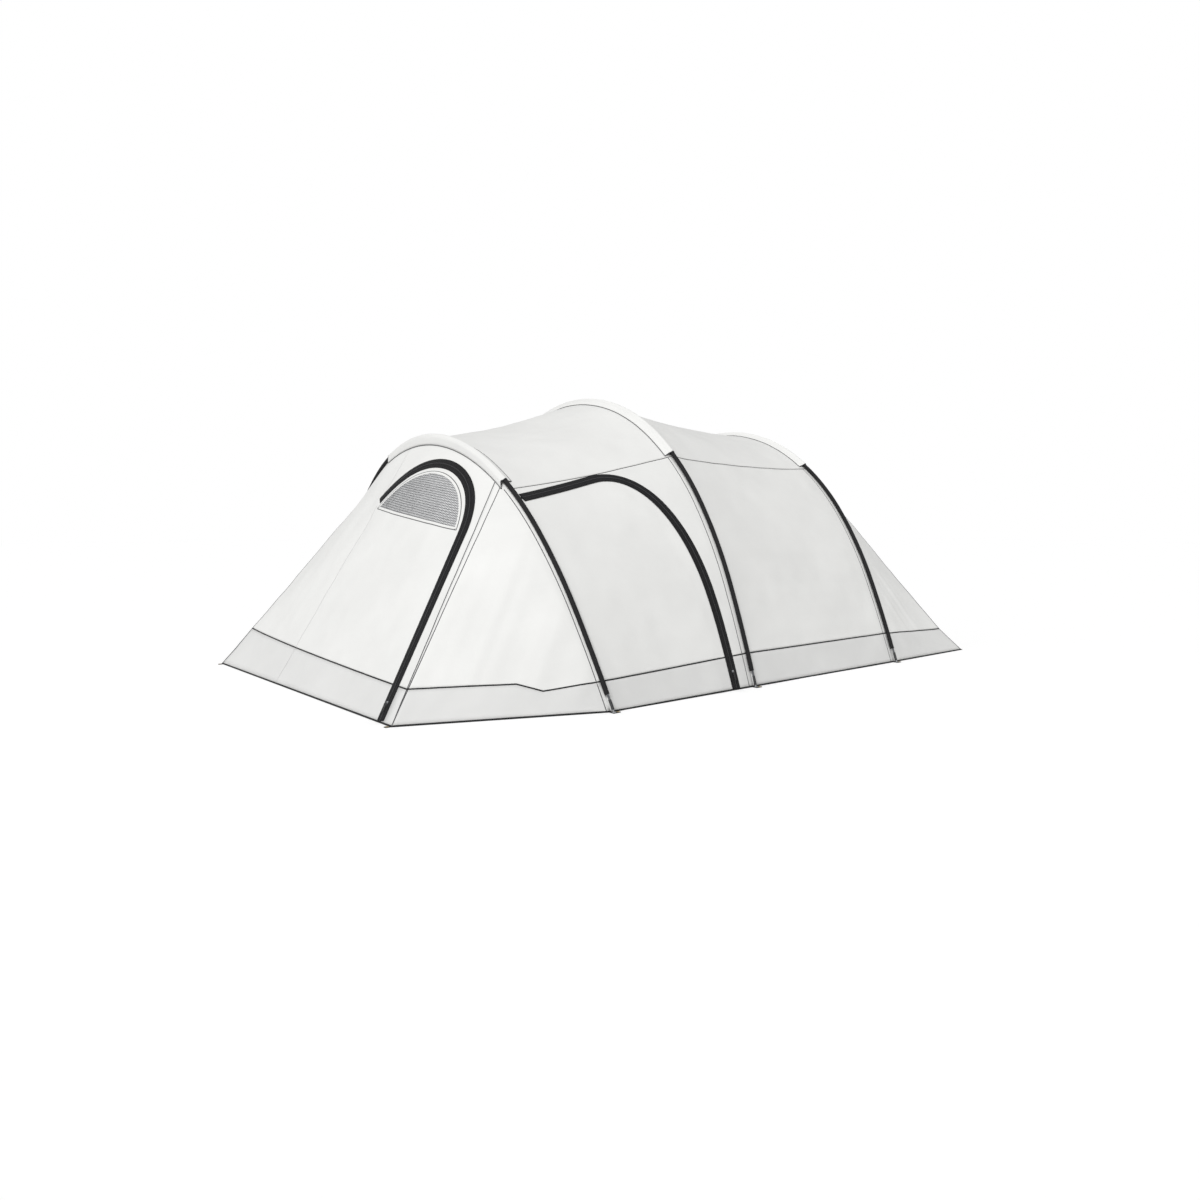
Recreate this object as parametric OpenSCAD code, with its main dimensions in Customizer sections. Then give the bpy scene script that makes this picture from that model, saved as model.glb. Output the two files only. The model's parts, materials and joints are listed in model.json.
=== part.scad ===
// Tunnel tent on three bent poles: an outer fly with a front door and a side door,
// carried by hoops in sewn sleeves, with a bedroom hung inside its rear half.
// Length runs along X with the front at -X, width along Y, and the ground is z = 0.

/* [Overall] */
// Length over the corner peg tabs
overall_length = 4350; // [3900:10:4800]
// Width over the foot straps
overall_width = 3400; // [3000:10:3800]
// Height of the middle hood's crown
overall_height = 1800; // [1650:10:1950]

/* [Layout] */
// Front end to the feet of the front hoop
porch_length = 1000; // [850:10:1200]
// Front hoop to middle hoop at the feet
living_length = 1050; // [900:10:1250]
// Middle hoop to rear hoop at the feet
bedroom_length = 1400; // [1200:10:1600]
// Height of the front hood's crown
front_height = 1487; // [1350:1:1600]
// Height of the rear hood's crown
rear_height = 1662; // [1500:1:1750]
// Lean of the front hoop towards the front
front_lean = 4.7; // [0:0.1:8]
// Lean of the rear hoop towards the rear
rear_lean = 2.8; // [0:0.1:8]
// Width of the fly's hem across the front
front_hem_width = 2500; // [2000:10:2900]
// Width of the fly's hem across the rear
rear_hem_width = 3310; // [2800:10:3400]

/* [Poles] */
// Fibreglass sections in each hoop
sections = 9; // [7:2:11]
// Outer diameter of a pole
pole_d = 11; // [9:0.5:12]
// Bore of a pole
pole_bore = 5; // [4.5:0.1:6]
// Diameter of the shock cord
cord_d = 3; // [2.5:0.1:3.2]
// Length of a steel ferrule
ferrule_length = 80; // [60:5:100]
// Wall of a ferrule
ferrule_wall = 0.9; // [0.6:0.1:1.5]
// Sliding clearance between a pole and what it fits in
pole_clearance = 0.3; // [0.2:0.05:0.4]
// Height of the pole ends above the ground
pole_end_height = 36; // [36:1:45]
// Length of the cup of an end tip over the pole
tip_cup = 30; // [20:1:40]
// Wall of an end tip
tip_wall = 2; // [1.5:0.1:3]
// Length of an end tip below the pole
tip_drop = 24; // [18:1:24]
// Diameter of a foot pin
pin_d = 6; // [5:0.1:7]
// Length of a foot pin inside its tip
pin_reach = 22; // [15:1:22]

/* [Ground tabs] */
// Thickness of the webbing
webbing_t = 2; // [1.5:0.1:2]
// Width of the webbing
webbing_w = 26; // [24:1:32]
// Length of a corner tab
corner_tab_length = 70; // [60:1:90]
// Length of a foot strap
foot_strap_length = 90; // [80:1:110]
// Radius of the peg hole in an eyelet
eyelet_r = 6; // [5:0.1:6.5]
// Wall of an eyelet's barrel
eyelet_wall = 1.2; // [0.8:0.1:1.5]
// Width of an eyelet's rolled rim beyond its barrel
eyelet_rim = 2.6; // [2:0.1:3]
// Thickness of an eyelet's rim
eyelet_rim_t = 0.9; // [0.6:0.1:0.9]
// Distance of an eyelet beside the foot of its pole
eyelet_aside = 26; // [24:1:32]
// Diameter of a foot pin's base
foot_base_d = 22; // [20:1:24]
// Thickness of a foot pin's base
foot_base_t = 3; // [2:0.1:4]

/* [Sleeves and hoods] */
// Outer diameter of a side sleeve
sleeve_d = 26.6; // [22:0.1:32]
// Wall of a side sleeve
sleeve_wall = 1.2; // [1:0.1:1.5]
// Bare pole below a side sleeve
sleeve_start = 60; // [50:1:120]
// Half width of a hood
hood_half_width = 47; // [40:1:60]
// Rise of a hood above the pole's centre
hood_rise = 12; // [10:0.5:16]
// Length of the front hood along its pole from the crown towards the side door
front_hood_reach = 925; // [800:5:1050]
// Length of the front hood along its pole from the crown away from the side door
front_hood_far_reach = 500; // [400:5:1050]
// Half length of the middle hood along its pole
middle_hood_reach = 1085; // [900:5:1200]
// Half length of the rear hood along its pole
rear_hood_reach = 895; // [800:5:1050]
// Roof seam to the crown along the front hoop
front_seam_reach = 985; // [940:5:1100]
// Roof seam to the crown along the middle hoop
middle_seam_reach = 1100; // [1000:5:1250]
// Roof seam to the crown along the rear hoop
rear_seam_reach = 920; // [900:5:1100]

/* [Fly] */
// Thickness of the fly's fabric with its coating and seams
fabric_t = 1.5; // [1:0.1:2]
// Height of the hem's outer edge
hem_height = 4.6; // [4.5:0.05:4.7]
// Inward sag of the fly between the front and middle hoops
living_sag = 30; // [0:1:50]
// Inward sag of the fly between the middle and rear hoops
bedroom_sag = 40; // [0:1:60]
// Hollow of the rear face at the skirt seam
rear_flare = 50; // [0:1:90]
// Rear corners to the crown along the rear hoop
rear_corner_reach = 900; // [850:5:950]
// Front corner seam to the crown along the front hoop
corner_seam_reach = 850; // [800:5:900]

/* [Skirt seam heights] */
// At the front corner beside the zip
skirt_corner = 155; // [120:1:200]
// At the far front corner
skirt_far_corner = 235; // [150:1:260]
// At the front hoop
skirt_front = 148; // [120:1:200]
// At the middle hoop
skirt_middle = 189; // [120:1:220]
// At the rear hoop
skirt_rear = 190; // [120:1:220]
// At the rear corners
skirt_rear_corner = 160; // [120:1:220]
// At the low point of the step beside the front hoop
skirt_step = 117; // [100:1:150]

/* [Front door] */
// Foot of the zip from the middle of the hem
front_zip_foot = 1130; // [1000:5:1180]
// Fold line's foot beyond the middle of the hem
front_fold_foot = 265; // [150:5:400]
// Height of the top of the zip's arch
front_arch_height = 1290; // [1150:5:1320]
// Radius of the zip's arch
front_arch_r = 600; // [560:5:640]
// Edge of the mesh vent inside the zip's arch
vent_margin = 55; // [45:1:80]
// Height of the vent's sill below the arch's top, mid-vent
vent_drop = 315; // [250:1:350]
// Slope of the vent's sill
vent_slope = 7.7; // [0:0.1:10]
// Width of the vent's binding
vent_binding = 14; // [10:1:20]

/* [Side door] */
// Front hoop to the upright run of the zip
side_zip_reach = 908; // [800:1:930]
// Straight top run of the zip, from the front hoop
side_zip_straight = 470; // [300:5:550]
// Top run to the crown along the pole
side_zip_top = 1072; // [1060:1:1150]
// Bottom of the rounded corner, above the ground along the pole
side_zip_bend = 300; // [200:5:320]
// Squareness of the rounded corner, where 2 is an ellipse
side_zip_squareness = 2.3; // [2:0.1:3]
// Gap between the side door and the front hoop's plane
side_hinge_gap = 24; // [22:1:40]

/* [Zips] */
// Width of half a zip's tape
tape_w = 31; // [25:1:35]
// Thickness of the tape
tape_t = 1; // [0.8:0.1:1.2]
// Width of a closed chain of coils
chain_w = 7; // [6:0.5:8]
// Thickness of the chain
chain_t = 3; // [2:0.1:4]
// Gap between the fabric and the middle of the zip
fabric_setback = 9; // [8.5:0.5:10]
// Wall of a slider
slider_wall = 1.4; // [1.2:0.1:1.6]
// Length of a slider
slider_length = 24; // [20:1:30]
// Clearance of a slider around the chain
slider_clearance = 0.5; // [0.4:0.05:0.6]
// Length of a puller
puller_length = 46; // [35:1:50]
// Width of a puller
puller_w = 9; // [7:0.5:10]
// Thickness of a puller
puller_t = 1.8; // [1.5:0.1:2]
// Diameter of the bail that carries the puller
bail_d = 1.8; // [1.5:0.1:2]
// Foot of a slider above the zip's lower end at rest
slider_park = 70; // [60:1:90]

/* [Bedroom] */
// Distance of the bedroom's walls inside the poles
inner_gap = 85; // [75:1:110]
// Thickness of the bedroom's fabric
inner_t = 1.2; // [1:0.1:1.6]
// Height of the groundsheet's tray
tray_height = 90; // [60:1:120]
// Thickness of the groundsheet
groundsheet_t = 2; // [1.5:0.1:3]
// Middle hoop's plane to the bedroom's front wall
bedroom_setback = 60; // [50:1:100]
// Bedroom's rear foot inside the rear hem
bedroom_rear_gap = 170; // [120:5:250]
// Width of the bedroom's door
bedroom_door_w = 860; // [700:10:1000]
// Height of the bedroom's door above the tray
bedroom_door_h = 1180; // [1000:10:1250]
// Hanging toggles at each hoop
toggles_per_hoop = 5; // [3:2:7]
// Diameter of a hanging toggle
toggle_d = 9; // [7:0.5:11]

/* [Hidden] */
$fn = 48;
// Facets of a full turn of a pole's arc, which is metres across
ARC_FN = 240;
FRONT = 0;
MIDDLE = 1;
REAR = 2;
HOOPS = [FRONT, MIDDLE, REAR];
// Where the fly's length coordinate meets the hoops, from 0 at the front hem to 4 at the rear hem
FIRST = 1;
SECOND = 2;
THIRD = 3;
LAST = 4;
// Gaps at a sewn seam, between pole sections in a ferrule, at a fold and under what lies on the fly
seam_gap = 0.6;
joint_gap = 0.6;
fold_gap = 0.5;
tape_lift = 0.9;
hood_lift = 1.8;
chain_lift = 0.4;
// Hem to the outer end of a corner tab
tab_show = 30;

fabric_white = [0.93, 0.93, 0.91];
skirt_white = [0.88, 0.88, 0.87];
sleeve_dark = [0.13, 0.13, 0.14];
zip_black = [0.05, 0.05, 0.05];
mesh_grey = [0.55, 0.56, 0.57];
steel = [0.72, 0.73, 0.75];
brass = [0.75, 0.66, 0.42];
fibreglass = [0.22, 0.23, 0.25];
nylon_black = [0.1, 0.1, 0.1];
inner_white = [0.86, 0.87, 0.86];
floor_grey = [0.35, 0.37, 0.39];

function lerp(a, b, w) = a + (b - a) * w;
function unit(v) = v / norm(v);
function steps(a, b, n) = [for (i = [0:n]) lerp(a, b, i / n)];
function sum_first(v, n) = n == 0 ? v[0] * 0 : v[n - 1] + sum_first(v, n - 1);

// ---- Hoops: a bent rod pinned at both feet, built from one arc per pole section ----

half_length = overall_length / 2;
hoop_x = [
    porch_length - half_length,
    porch_length + living_length - half_length,
    porch_length + living_length + bedroom_length - half_length
];
hoop_lean = [-front_lean, 0, rear_lean];
crown_height = [front_height, overall_height, rear_height];
hood_reach = [front_hood_reach, middle_hood_reach, rear_hood_reach];
hood_far_reach = [front_hood_far_reach, middle_hood_reach, rear_hood_reach];
seam_reach = [front_seam_reach, middle_seam_reach, rear_seam_reach];
skirt_height = [skirt_front, skirt_middle, skirt_rear];
corner_reach = [corner_seam_reach, 0, rear_corner_reach];
foot_half = overall_width / 2 - foot_base_d / 2 - pole_end_height / 2;

// Angles of the rod at the ends of its sections, from a at one foot to -a at the other
function end_angles(a) = [for (i = [0:sections]) a * cos(180 * i / sections)];
function arc_radius(a, b) = 180 / (PI * (a - b));
function arc_step(a, b) = arc_radius(a, b) * [sin(a) - sin(b), cos(b) - cos(a)];
function arc_steps(g) = [for (i = [0:sections - 1]) arc_step(g[i], g[i + 1])];

// Rise over span of a rod whose feet stand at angle a
function rise_over_span(a) =
    let (g = end_angles(a), arcs = arc_steps(g), half = (sections - 1) / 2, crown = g[half])
    (sum_first(arcs, half).y + arc_radius(crown, -crown) * (1 - cos(crown))) / sum_first(arcs, sections).x;

function foot_angle(ratio, low = 5, high = 110, tries = 40) =
    let (mid = (low + high) / 2)
    tries == 0 ? mid
    : rise_over_span(mid) < ratio ? foot_angle(ratio, mid, high, tries - 1)
    : foot_angle(ratio, low, mid, tries - 1);

// One hoop: section end angles, arc radii, section starts as [y, height], section length
function make_hoop(h) =
    let (
        upright = cos(hoop_lean[h]),
        rise = (crown_height[h] - hood_rise - pole_end_height) / upright,
        g = end_angles(foot_angle(rise / (2 * foot_half))),
        arcs = arc_steps(g),
        piece = 2 * foot_half / sum_first(arcs, sections).x,
        foot = [-foot_half, pole_end_height / upright]
    )
    [
        g,
        [for (i = [0:sections - 1]) piece * arc_radius(g[i], g[i + 1])],
        [for (i = [0:sections]) foot + piece * sum_first(arcs, i)],
        piece
    ];
hoops = [for (h = HOOPS) make_hoop(h)];

function pole_length(h) = hoops[h][3] * sections;
function section_at(t) = min(floor(min(max(t, 0), 1) * sections), sections - 1);
function pole_angle(h, t) =
    let (k = section_at(t)) lerp(hoops[h][0][k], hoops[h][0][k + 1], min(max(t, 0), 1) * sections - k);

// Point at share t of a pole's length, moved outwards in the hoop's own plane
function hoop_point(h, t, out = 0) =
    let (
        k = section_at(t),
        a = pole_angle(h, t),
        a0 = hoops[h][0][k],
        over = (t - min(max(t, 0), 1)) * pole_length(h)
    )
    hoops[h][2][k] + hoops[h][1][k] * [sin(a0) - sin(a), cos(a) - cos(a0)]
        + over * [cos(a), sin(a)] + out * [-sin(a), cos(a)];

function stand(h, p) = [hoop_x[h] + p.y * sin(hoop_lean[h]), p.x, p.y * cos(hoop_lean[h])];
function hoop_normal(h, t) =
    let (a = pole_angle(h, t)) [cos(a) * sin(hoop_lean[h]), -sin(a), cos(a) * cos(hoop_lean[h])];
function hoop_axis(h) = [cos(hoop_lean[h]), 0, -sin(hoop_lean[h])];

// ---- Fly: q runs along the tent, t around it from the right hem to the left hem ----

// The ferrules lie against the outer side of their sleeve, and the fly under it
ferrule_bore_r = pole_d / 2 + pole_clearance;
ferrule_r = ferrule_bore_r + ferrule_wall;
sleeve_centre = sleeve_d / 2 - sleeve_wall - pole_clearance - ferrule_r;
fly_drop = sleeve_centre + sleeve_d / 2 + seam_gap;
function hem_overrun(h) =
    let (a = pole_angle(h, 0))
    (pole_end_height - fly_drop * cos(a) - hem_height) / (pole_length(h) * sin(a));
overrun = [for (h = HOOPS) hem_overrun(h)];
function fly_length(h) = pole_length(h) * (1 + 2 * overrun[h]);
function fly_edge(h, t, out = 0) =
    stand(h, hoop_point(h, lerp(-overrun[h], 1 + overrun[h], t), out - fly_drop));
function fly_normal(h, t) = hoop_normal(h, lerp(-overrun[h], 1 + overrun[h], t));
function share(h, reach) = 0.5 - reach / fly_length(h);
function by_hoop(values, q) =
    let (k = min(max(floor(q) - 1, 0), 1), w = min(max(q - 1 - k, 0), 1))
    lerp(values[k], values[k + 1], w);

seam_share = [for (h = HOOPS) share(h, seam_reach[h])];
corner_share = [for (h = HOOPS) share(h, corner_reach[h])];
skirt_share = [
    for (h = HOOPS)
        (skirt_height[h] - fly_edge(h, 0).z)
            / (fly_length(h) * sin(pole_angle(h, 0)) * cos(hoop_lean[h]))
];
hem_half = [front_hem_width / 2, 0, rear_hem_width / 2];
hem_x = [tab_show - half_length, 0, half_length - tab_show];

// Hem of an end face, from the foot of its hoop round both corners
function end_hem(h, t) =
    let (
        c = corner_share[h],
        side = t < 0.5 ? -1 : 1,
        corner = [hem_x[h], side * hem_half[h], hem_height],
        s = min(t, 1 - t)
    )
    s < c ? lerp(fly_edge(h, t < 0.5 ? 0 : 1), corner, s / c)
    : [hem_x[h], lerp(-hem_half[h], hem_half[h], (t - c) / (1 - 2 * c)), hem_height];

// Height of the skirt's seam on an end face
step_low = 0.37;
step_high = 0.51;
cheek_foot = 0.1;
function end_skirt_height(h, t) =
    let (c = corner_share[h], s = min(t, 1 - t) / c)
    h == REAR ? lookup(s, [[cheek_foot, skirt_rear], [1, skirt_rear_corner]])
    : t < c ? lookup(s, [
        [cheek_foot, skirt_front], [step_low, skirt_step], [step_high, skirt_corner], [1, skirt_corner]
    ])
    : s < 1 ? lookup(s, [[cheek_foot, skirt_front], [1, skirt_far_corner]])
    : lerp(skirt_corner, skirt_far_corner, (t - c) / (1 - 2 * c));

// Share of an end face's height at which its skirt ends
function skirt_top(h, t) =
    let (low = end_hem(h, t).z, high = fly_edge(h, t).z)
    min(1, (end_skirt_height(h, t) - low) / (high - low));

function hollow(v, peak) = v <= peak ? v / peak : (1 - v) / (1 - peak);
function end_face(h, v, t) =
    let (
        low = end_hem(h, t),
        flare = h == REAR ? -rear_flare * (low.x - hoop_x[h]) / (hem_x[h] - hoop_x[h]) : 0
    )
    lerp(low, fly_edge(h, t), v) + [flare * hollow(v, skirt_top(h, t)), 0, 0];

function bay(h, u, t) =
    let (
        sag = h == FRONT ? living_sag : bedroom_sag,
        out = unit(lerp(fly_normal(h, t), fly_normal(h + 1, t), u))
    )
    lerp(fly_edge(h, t), fly_edge(h + 1, t), u) - out * sag * 4 * u * (1 - u) * sin(180 * t);

function fly(q, t) =
    q <= FIRST ? end_face(FRONT, q, t)
    : q >= THIRD ? end_face(REAR, LAST - q, t)
    : bay(floor(q) - 1, q - floor(q), t);

// Outward direction of the fly, which is the hoop's own where panels meet on a hoop
nudge = 0.002;
function true_normal(q, t) =
    let (p = fly(q, t), n = cross(fly(q + nudge, t) - p, fly(q, t + nudge) - p), middle = [hoop_x[MIDDLE], 0, 0])
    n * (p - middle) > 0 ? unit(n) : -unit(n);
blend_share = 0.08;
function facing(q, t) =
    let (k = round(q), near = k >= FIRST && k <= THIRD ? max(0, 1 - abs(q - k) / blend_share) : 0)
    near == 1 ? fly_normal(k - 1, t)
    : near == 0 ? true_normal(q, t)
    : unit(lerp(true_normal(q, t), fly_normal(k - 1, t), near));
function skin(q, t, lift = 0) = fly(q, t) + facing(q, t) * lift;

// Coordinate of a line w before or after a hoop, measured along the fly
function beside(h, t, w) = let (q = h + 1) q + w / norm(fly(q + sign(w), t) - fly(q, t));

// ---- Solids ----

// Closed sheet between two grids of points
module slab(outer, inner) {
    rows = len(outer) - 1;
    cols = len(outer[0]) - 1;
    span = cols + 1;
    back = len(outer) * span;
    mid_row = floor(rows / 2);
    mid_col = floor(cols / 2);
    corner = outer[mid_row][mid_col];
    across = cross(outer[mid_row][mid_col + 1] - corner, outer[mid_row + 1][mid_col] - corner);
    outwards = across * (corner - inner[mid_row][mid_col]) > 0;
    quads = concat(
        [for (i = [0:rows - 1], j = [0:cols - 1])
            [i * span + j, i * span + j + 1, (i + 1) * span + j + 1, (i + 1) * span + j]],
        [for (i = [0:rows - 1], j = [0:cols - 1])
            [back + i * span + j, back + (i + 1) * span + j,
             back + (i + 1) * span + j + 1, back + i * span + j + 1]],
        [for (i = [0:rows - 1])
            [i * span, (i + 1) * span, back + (i + 1) * span, back + i * span]],
        [for (i = [0:rows - 1])
            [(i + 1) * span + cols, i * span + cols, back + i * span + cols, back + (i + 1) * span + cols]],
        [for (j = [0:cols - 1]) [j + 1, j, back + j, back + j + 1]],
        [for (j = [0:cols - 1])
            [rows * span + j, rows * span + j + 1, back + rows * span + j + 1, back + rows * span + j]]
    );
    halves = [for (f = quads) each [[f[0], f[1], f[2]], [f[0], f[2], f[3]]]];
    faces = outwards ? [for (f = halves) [f[2], f[1], f[0]]] : halves;
    polyhedron(concat([for (r = outer) each r], [for (r = inner) each r]), faces);
}

// Panel of the fly over a grid of [q, t] places
module cloth(grid, lift = 0, thick = fabric_t) {
    slab(
        [for (row = grid) [for (c = row) skin(c[0], c[1], lift)]],
        [for (row = grid) [for (c = row) skin(c[0], c[1], lift - thick)]]
    );
}

// Arc in a hoop's plane from p with the rod's angle turning from a to b, carrying a profile
module arc_along(h, p, r, a, b) {
    centre = p + r * [sin(a), -cos(a)];
    translate([hoop_x[h], 0, 0]) rotate([0, hoop_lean[h], 0])
        translate([0, centre.x, centre.y]) rotate([90, 0, 90]) rotate([0, 0, b + 90])
            rotate_extrude(angle = a - b, $fn = ARC_FN) translate([r, 0]) children();
}

// Lengths along a hoop's pole from share t0 to t1, one for each pole section, a gap apart
module along_pole(h, t0, t1, gap) {
    half = gap / 2 / pole_length(h);
    for (k = [section_at(t0):section_at(t1)]) {
        from = max(t0, k / sections) + half;
        to = min(t1, (k + 1) / sections) - half;
        if (to > from)
            arc_along(h, hoop_point(h, from), hoops[h][1][k], pole_angle(h, from), pole_angle(h, to))
                children();
    }
}

module ring_profile(outer_r, inner_r) {
    difference() {
        circle(r = outer_r, $fn = 24);
        circle(r = inner_r, $fn = 24);
    }
}

module both_sides() {
    children();
    mirror([0, 1, 0]) children();
}

// Both feet of a hoop, with the pole's end as origin and the pole rising along +Z
module at_pole_ends(h) {
    both_sides()
        translate([hoop_x[h], 0, 0]) rotate([0, hoop_lean[h], 0])
            translate([0, -foot_half, hoops[h][2][0].y]) rotate([hoops[h][0][0] - 90, 0, 0]) children();
}

module tube(outer_r, inner_r, h) {
    difference() {
        cylinder(r = outer_r, h = h);
        translate([0, 0, -1]) cylinder(r = inner_r, h = h + 2);
    }
}

module rod(a, b, r) {
    d = b - a;
    translate(a) rotate([0, acos(d.z / norm(d)), atan2(d.y, d.x)]) cylinder(r = r, h = norm(d));
}

// ---- Poles ----

module pole_sections(h) {
    color(fibreglass)
        along_pole(h, 0, 1, joint_gap) ring_profile(pole_d / 2, pole_bore / 2);
}

// Each ferrule bends evenly from one pole section to the next
module pole_ferrules() {
    color(steel)
        for (h = HOOPS, k = [1:sections - 1]) {
            half = ferrule_length / 2 / pole_length(h);
            a = pole_angle(h, k / sections - half);
            b = pole_angle(h, k / sections + half);
            middle = hoops[h][0][k];
            r = ferrule_length * 180 / PI / (a - b);
            start = hoops[h][2][k] - r * [sin(a) - sin(middle), cos(middle) - cos(a)];
            arc_along(h, start, r, a, b) ring_profile(ferrule_r, ferrule_bore_r);
        }
}

module front_pole() { pole_sections(FRONT); }
module middle_pole() { pole_sections(MIDDLE); }
module rear_pole() { pole_sections(REAR); }

CORD_SIDES = 6;
CORD_CELLS = 7;
module shock_cords() {
    count = sections * CORD_CELLS;
    side = [0:CORD_SIDES - 1];
    color(nylon_black)
        for (h = HOOPS) polyhedron(
            [for (t = steps(0, 1, count), i = side)
                let (a = 360 * i / CORD_SIDES)
                stand(h, hoop_point(h, t, cord_d / 2 * cos(a))) + hoop_axis(h) * cord_d / 2 * sin(a)],
            concat(
                [[for (i = side) i], [for (i = side) count * CORD_SIDES + CORD_SIDES - 1 - i]],
                [for (k = [0:count - 1], i = side)
                    let (j = (i + 1) % CORD_SIDES, low = k * CORD_SIDES, high = low + CORD_SIDES)
                    each [[low + j, low + i, high + i], [low + j, high + i, high + j]]]
            )
        );
}

pin_bore_r = pin_d / 2 + pole_clearance;
module pole_end_tips() {
    bore_r = pole_d / 2 + pole_clearance;
    color(nylon_black)
        for (h = HOOPS) at_pole_ends(h) difference() {
            translate([0, 0, -tip_drop]) cylinder(r = bore_r + tip_wall, h = tip_drop + tip_cup);
            cylinder(r = bore_r, h = tip_cup + 1);
            translate([0, 0, -tip_drop - 1]) cylinder(r = pin_bore_r, h = tip_drop + 2);
        }
}

webbing_low = eyelet_rim_t;
webbing_top = eyelet_rim_t + webbing_t;
collar_t = 2;
collar_d = 18;
module foot_pins() {
    color(steel)
        for (h = HOOPS) {
            rise = sin(hoops[h][0][0]) * cos(hoop_lean[h]);
            sink = (pole_end_height - webbing_top - foot_base_t / 2) / rise;
            at_pole_ends(h) {
                translate([0, 0, -sink]) cylinder(d = pin_d, h = sink - tip_drop + pin_reach);
                translate([0, 0, -tip_drop - pole_clearance - collar_t]) cylinder(d = collar_d, h = collar_t);
            }
            both_sides() translate([foot_base_at(h).x, foot_base_at(h).y, webbing_top])
                cylinder(d = foot_base_d, h = foot_base_t);
        }
}

// Where a pole's axis meets its base on the right-hand foot strap
function foot_base_at(h) =
    let (
        start = hoops[h][2][0],
        down = (pole_end_height - webbing_top - foot_base_t / 2) / cos(hoop_lean[h])
    )
    stand(h, [start.x - down / tan(hoops[h][0][0]), start.y - down]);

// ---- Ground tabs ----

eyelet_barrel_r = eyelet_r + eyelet_wall;
foot_eyelets = [for (h = HOOPS) [hoop_x[h] + eyelet_aside, (overall_width - webbing_w) / 2]];
corner_eyelets = [
    for (h = [FRONT, REAR])
        [sign(hem_x[h]) * (half_length - webbing_w / 2), hem_half[h] - webbing_w / 2]
];

module webbing_sheet() {
    translate([0, 0, webbing_low]) linear_extrude(webbing_t) children();
}

module peg_tabs() {
    color(sleeve_dark) both_sides() {
        for (h = HOOPS) webbing_sheet() difference() {
            at = foot_eyelets[h];
            union() {
                translate([hoop_x[h] - webbing_w / 2, -overall_width / 2])
                    square([webbing_w, foot_strap_length]);
                translate([hoop_x[h], -at.y - webbing_w / 2]) square([eyelet_aside, webbing_w]);
                translate([at.x, -at.y]) circle(d = webbing_w);
            }
            translate([at.x, -at.y]) circle(r = eyelet_barrel_r + pole_clearance);
        }
        for (at = corner_eyelets) webbing_sheet() difference() {
            inwards = -sign(at.x);
            union() {
                translate([min(at.x, at.x + inwards * corner_tab_length), -at.y - webbing_w / 2])
                    square([corner_tab_length, webbing_w]);
                translate([at.x, -at.y]) circle(d = webbing_w);
            }
            translate([at.x, -at.y]) circle(r = eyelet_barrel_r + pole_clearance);
        }
    }
}

module eyelet() {
    height = webbing_top + eyelet_rim_t;
    tube(eyelet_barrel_r, eyelet_r, height);
    tube(eyelet_barrel_r + eyelet_rim, eyelet_r, eyelet_rim_t);
    translate([0, 0, webbing_top]) tube(eyelet_barrel_r + eyelet_rim, eyelet_r, eyelet_rim_t);
}

module peg_eyelets() {
    color(brass) both_sides()
        for (at = concat(foot_eyelets, corner_eyelets)) translate([at.x, -at.y, 0]) eyelet();
}

// ---- Sleeves and hoods ----

hood_start = [for (h = HOOPS) 0.5 - hood_reach[h] / pole_length(h)];
hood_end = [for (h = HOOPS) 0.5 + hood_far_reach[h] / pole_length(h)];
module side_sleeves(h) {
    outer_r = sleeve_d / 2;
    foot = sleeve_start / pole_length(h);
    color(sleeve_dark) for (part = [[foot, hood_start[h]], [hood_end[h], 1 - foot]])
        along_pole(h, part[0], part[1], seam_gap)
            translate([-sleeve_centre, 0]) ring_profile(outer_r, outer_r - sleeve_wall);
}
module front_sleeves() { side_sleeves(FRONT); }
module middle_sleeves() { side_sleeves(MIDDLE); }
module rear_sleeves() { side_sleeves(REAR); }

// Section of a hood across its pole, from its front edge to its rear edge
hood_shoulder = 18;
hood_top_half = 7;
hood_crease = 2;
function hood_section(h, t, inset) =
    let (
        ft = (t + overrun[h]) / (1 + 2 * overrun[h]),
        pole = stand(h, hoop_point(h, t)),
        n = hoop_normal(h, t),
        x = hoop_axis(h),
        edge = hood_lift + fabric_t - inset
    )
    [
        skin(beside(h, ft, -hood_half_width), ft, edge),
        pole - x * (hood_shoulder - inset) - n * (hood_crease + inset),
        pole - x * hood_top_half + n * (hood_rise - hood_crease - inset),
        pole + n * (hood_rise - inset),
        pole + x * hood_top_half + n * (hood_rise - hood_crease - inset),
        pole + x * (hood_shoulder - inset) - n * (hood_crease + inset),
        skin(beside(h, ft, hood_half_width), ft, edge)
    ];

module hood(h) {
    stations = steps(hood_start[h], hood_end[h], 14);
    color(fabric_white) slab(
        [for (t = stations) hood_section(h, t, 0)],
        [for (t = stations) hood_section(h, t, fabric_t)]
    );
}
module front_hood() { hood(FRONT); }
module middle_hood() { hood(MIDDLE); }
module rear_hood() { hood(REAR); }

// ---- Roof, sides and skirts between the hoops ----

BAY_CELLS = 8;
SIDE_CELLS = 8;
ROOF_CELLS = 14;
SKIRT_CELLS = 2;

// Grid over a bay between shares low and high, which are given by hoop
function bay_grid(q0, low, high, cells) =
    [for (q = steps(q0, q0 + 1, BAY_CELLS)) [for (w = steps(0, 1, cells))
        [q, lerp(by_hoop(low, q), by_hoop(high, q), w)]]];
function mirrored(shares) = [for (s = shares) 1 - s];

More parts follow.
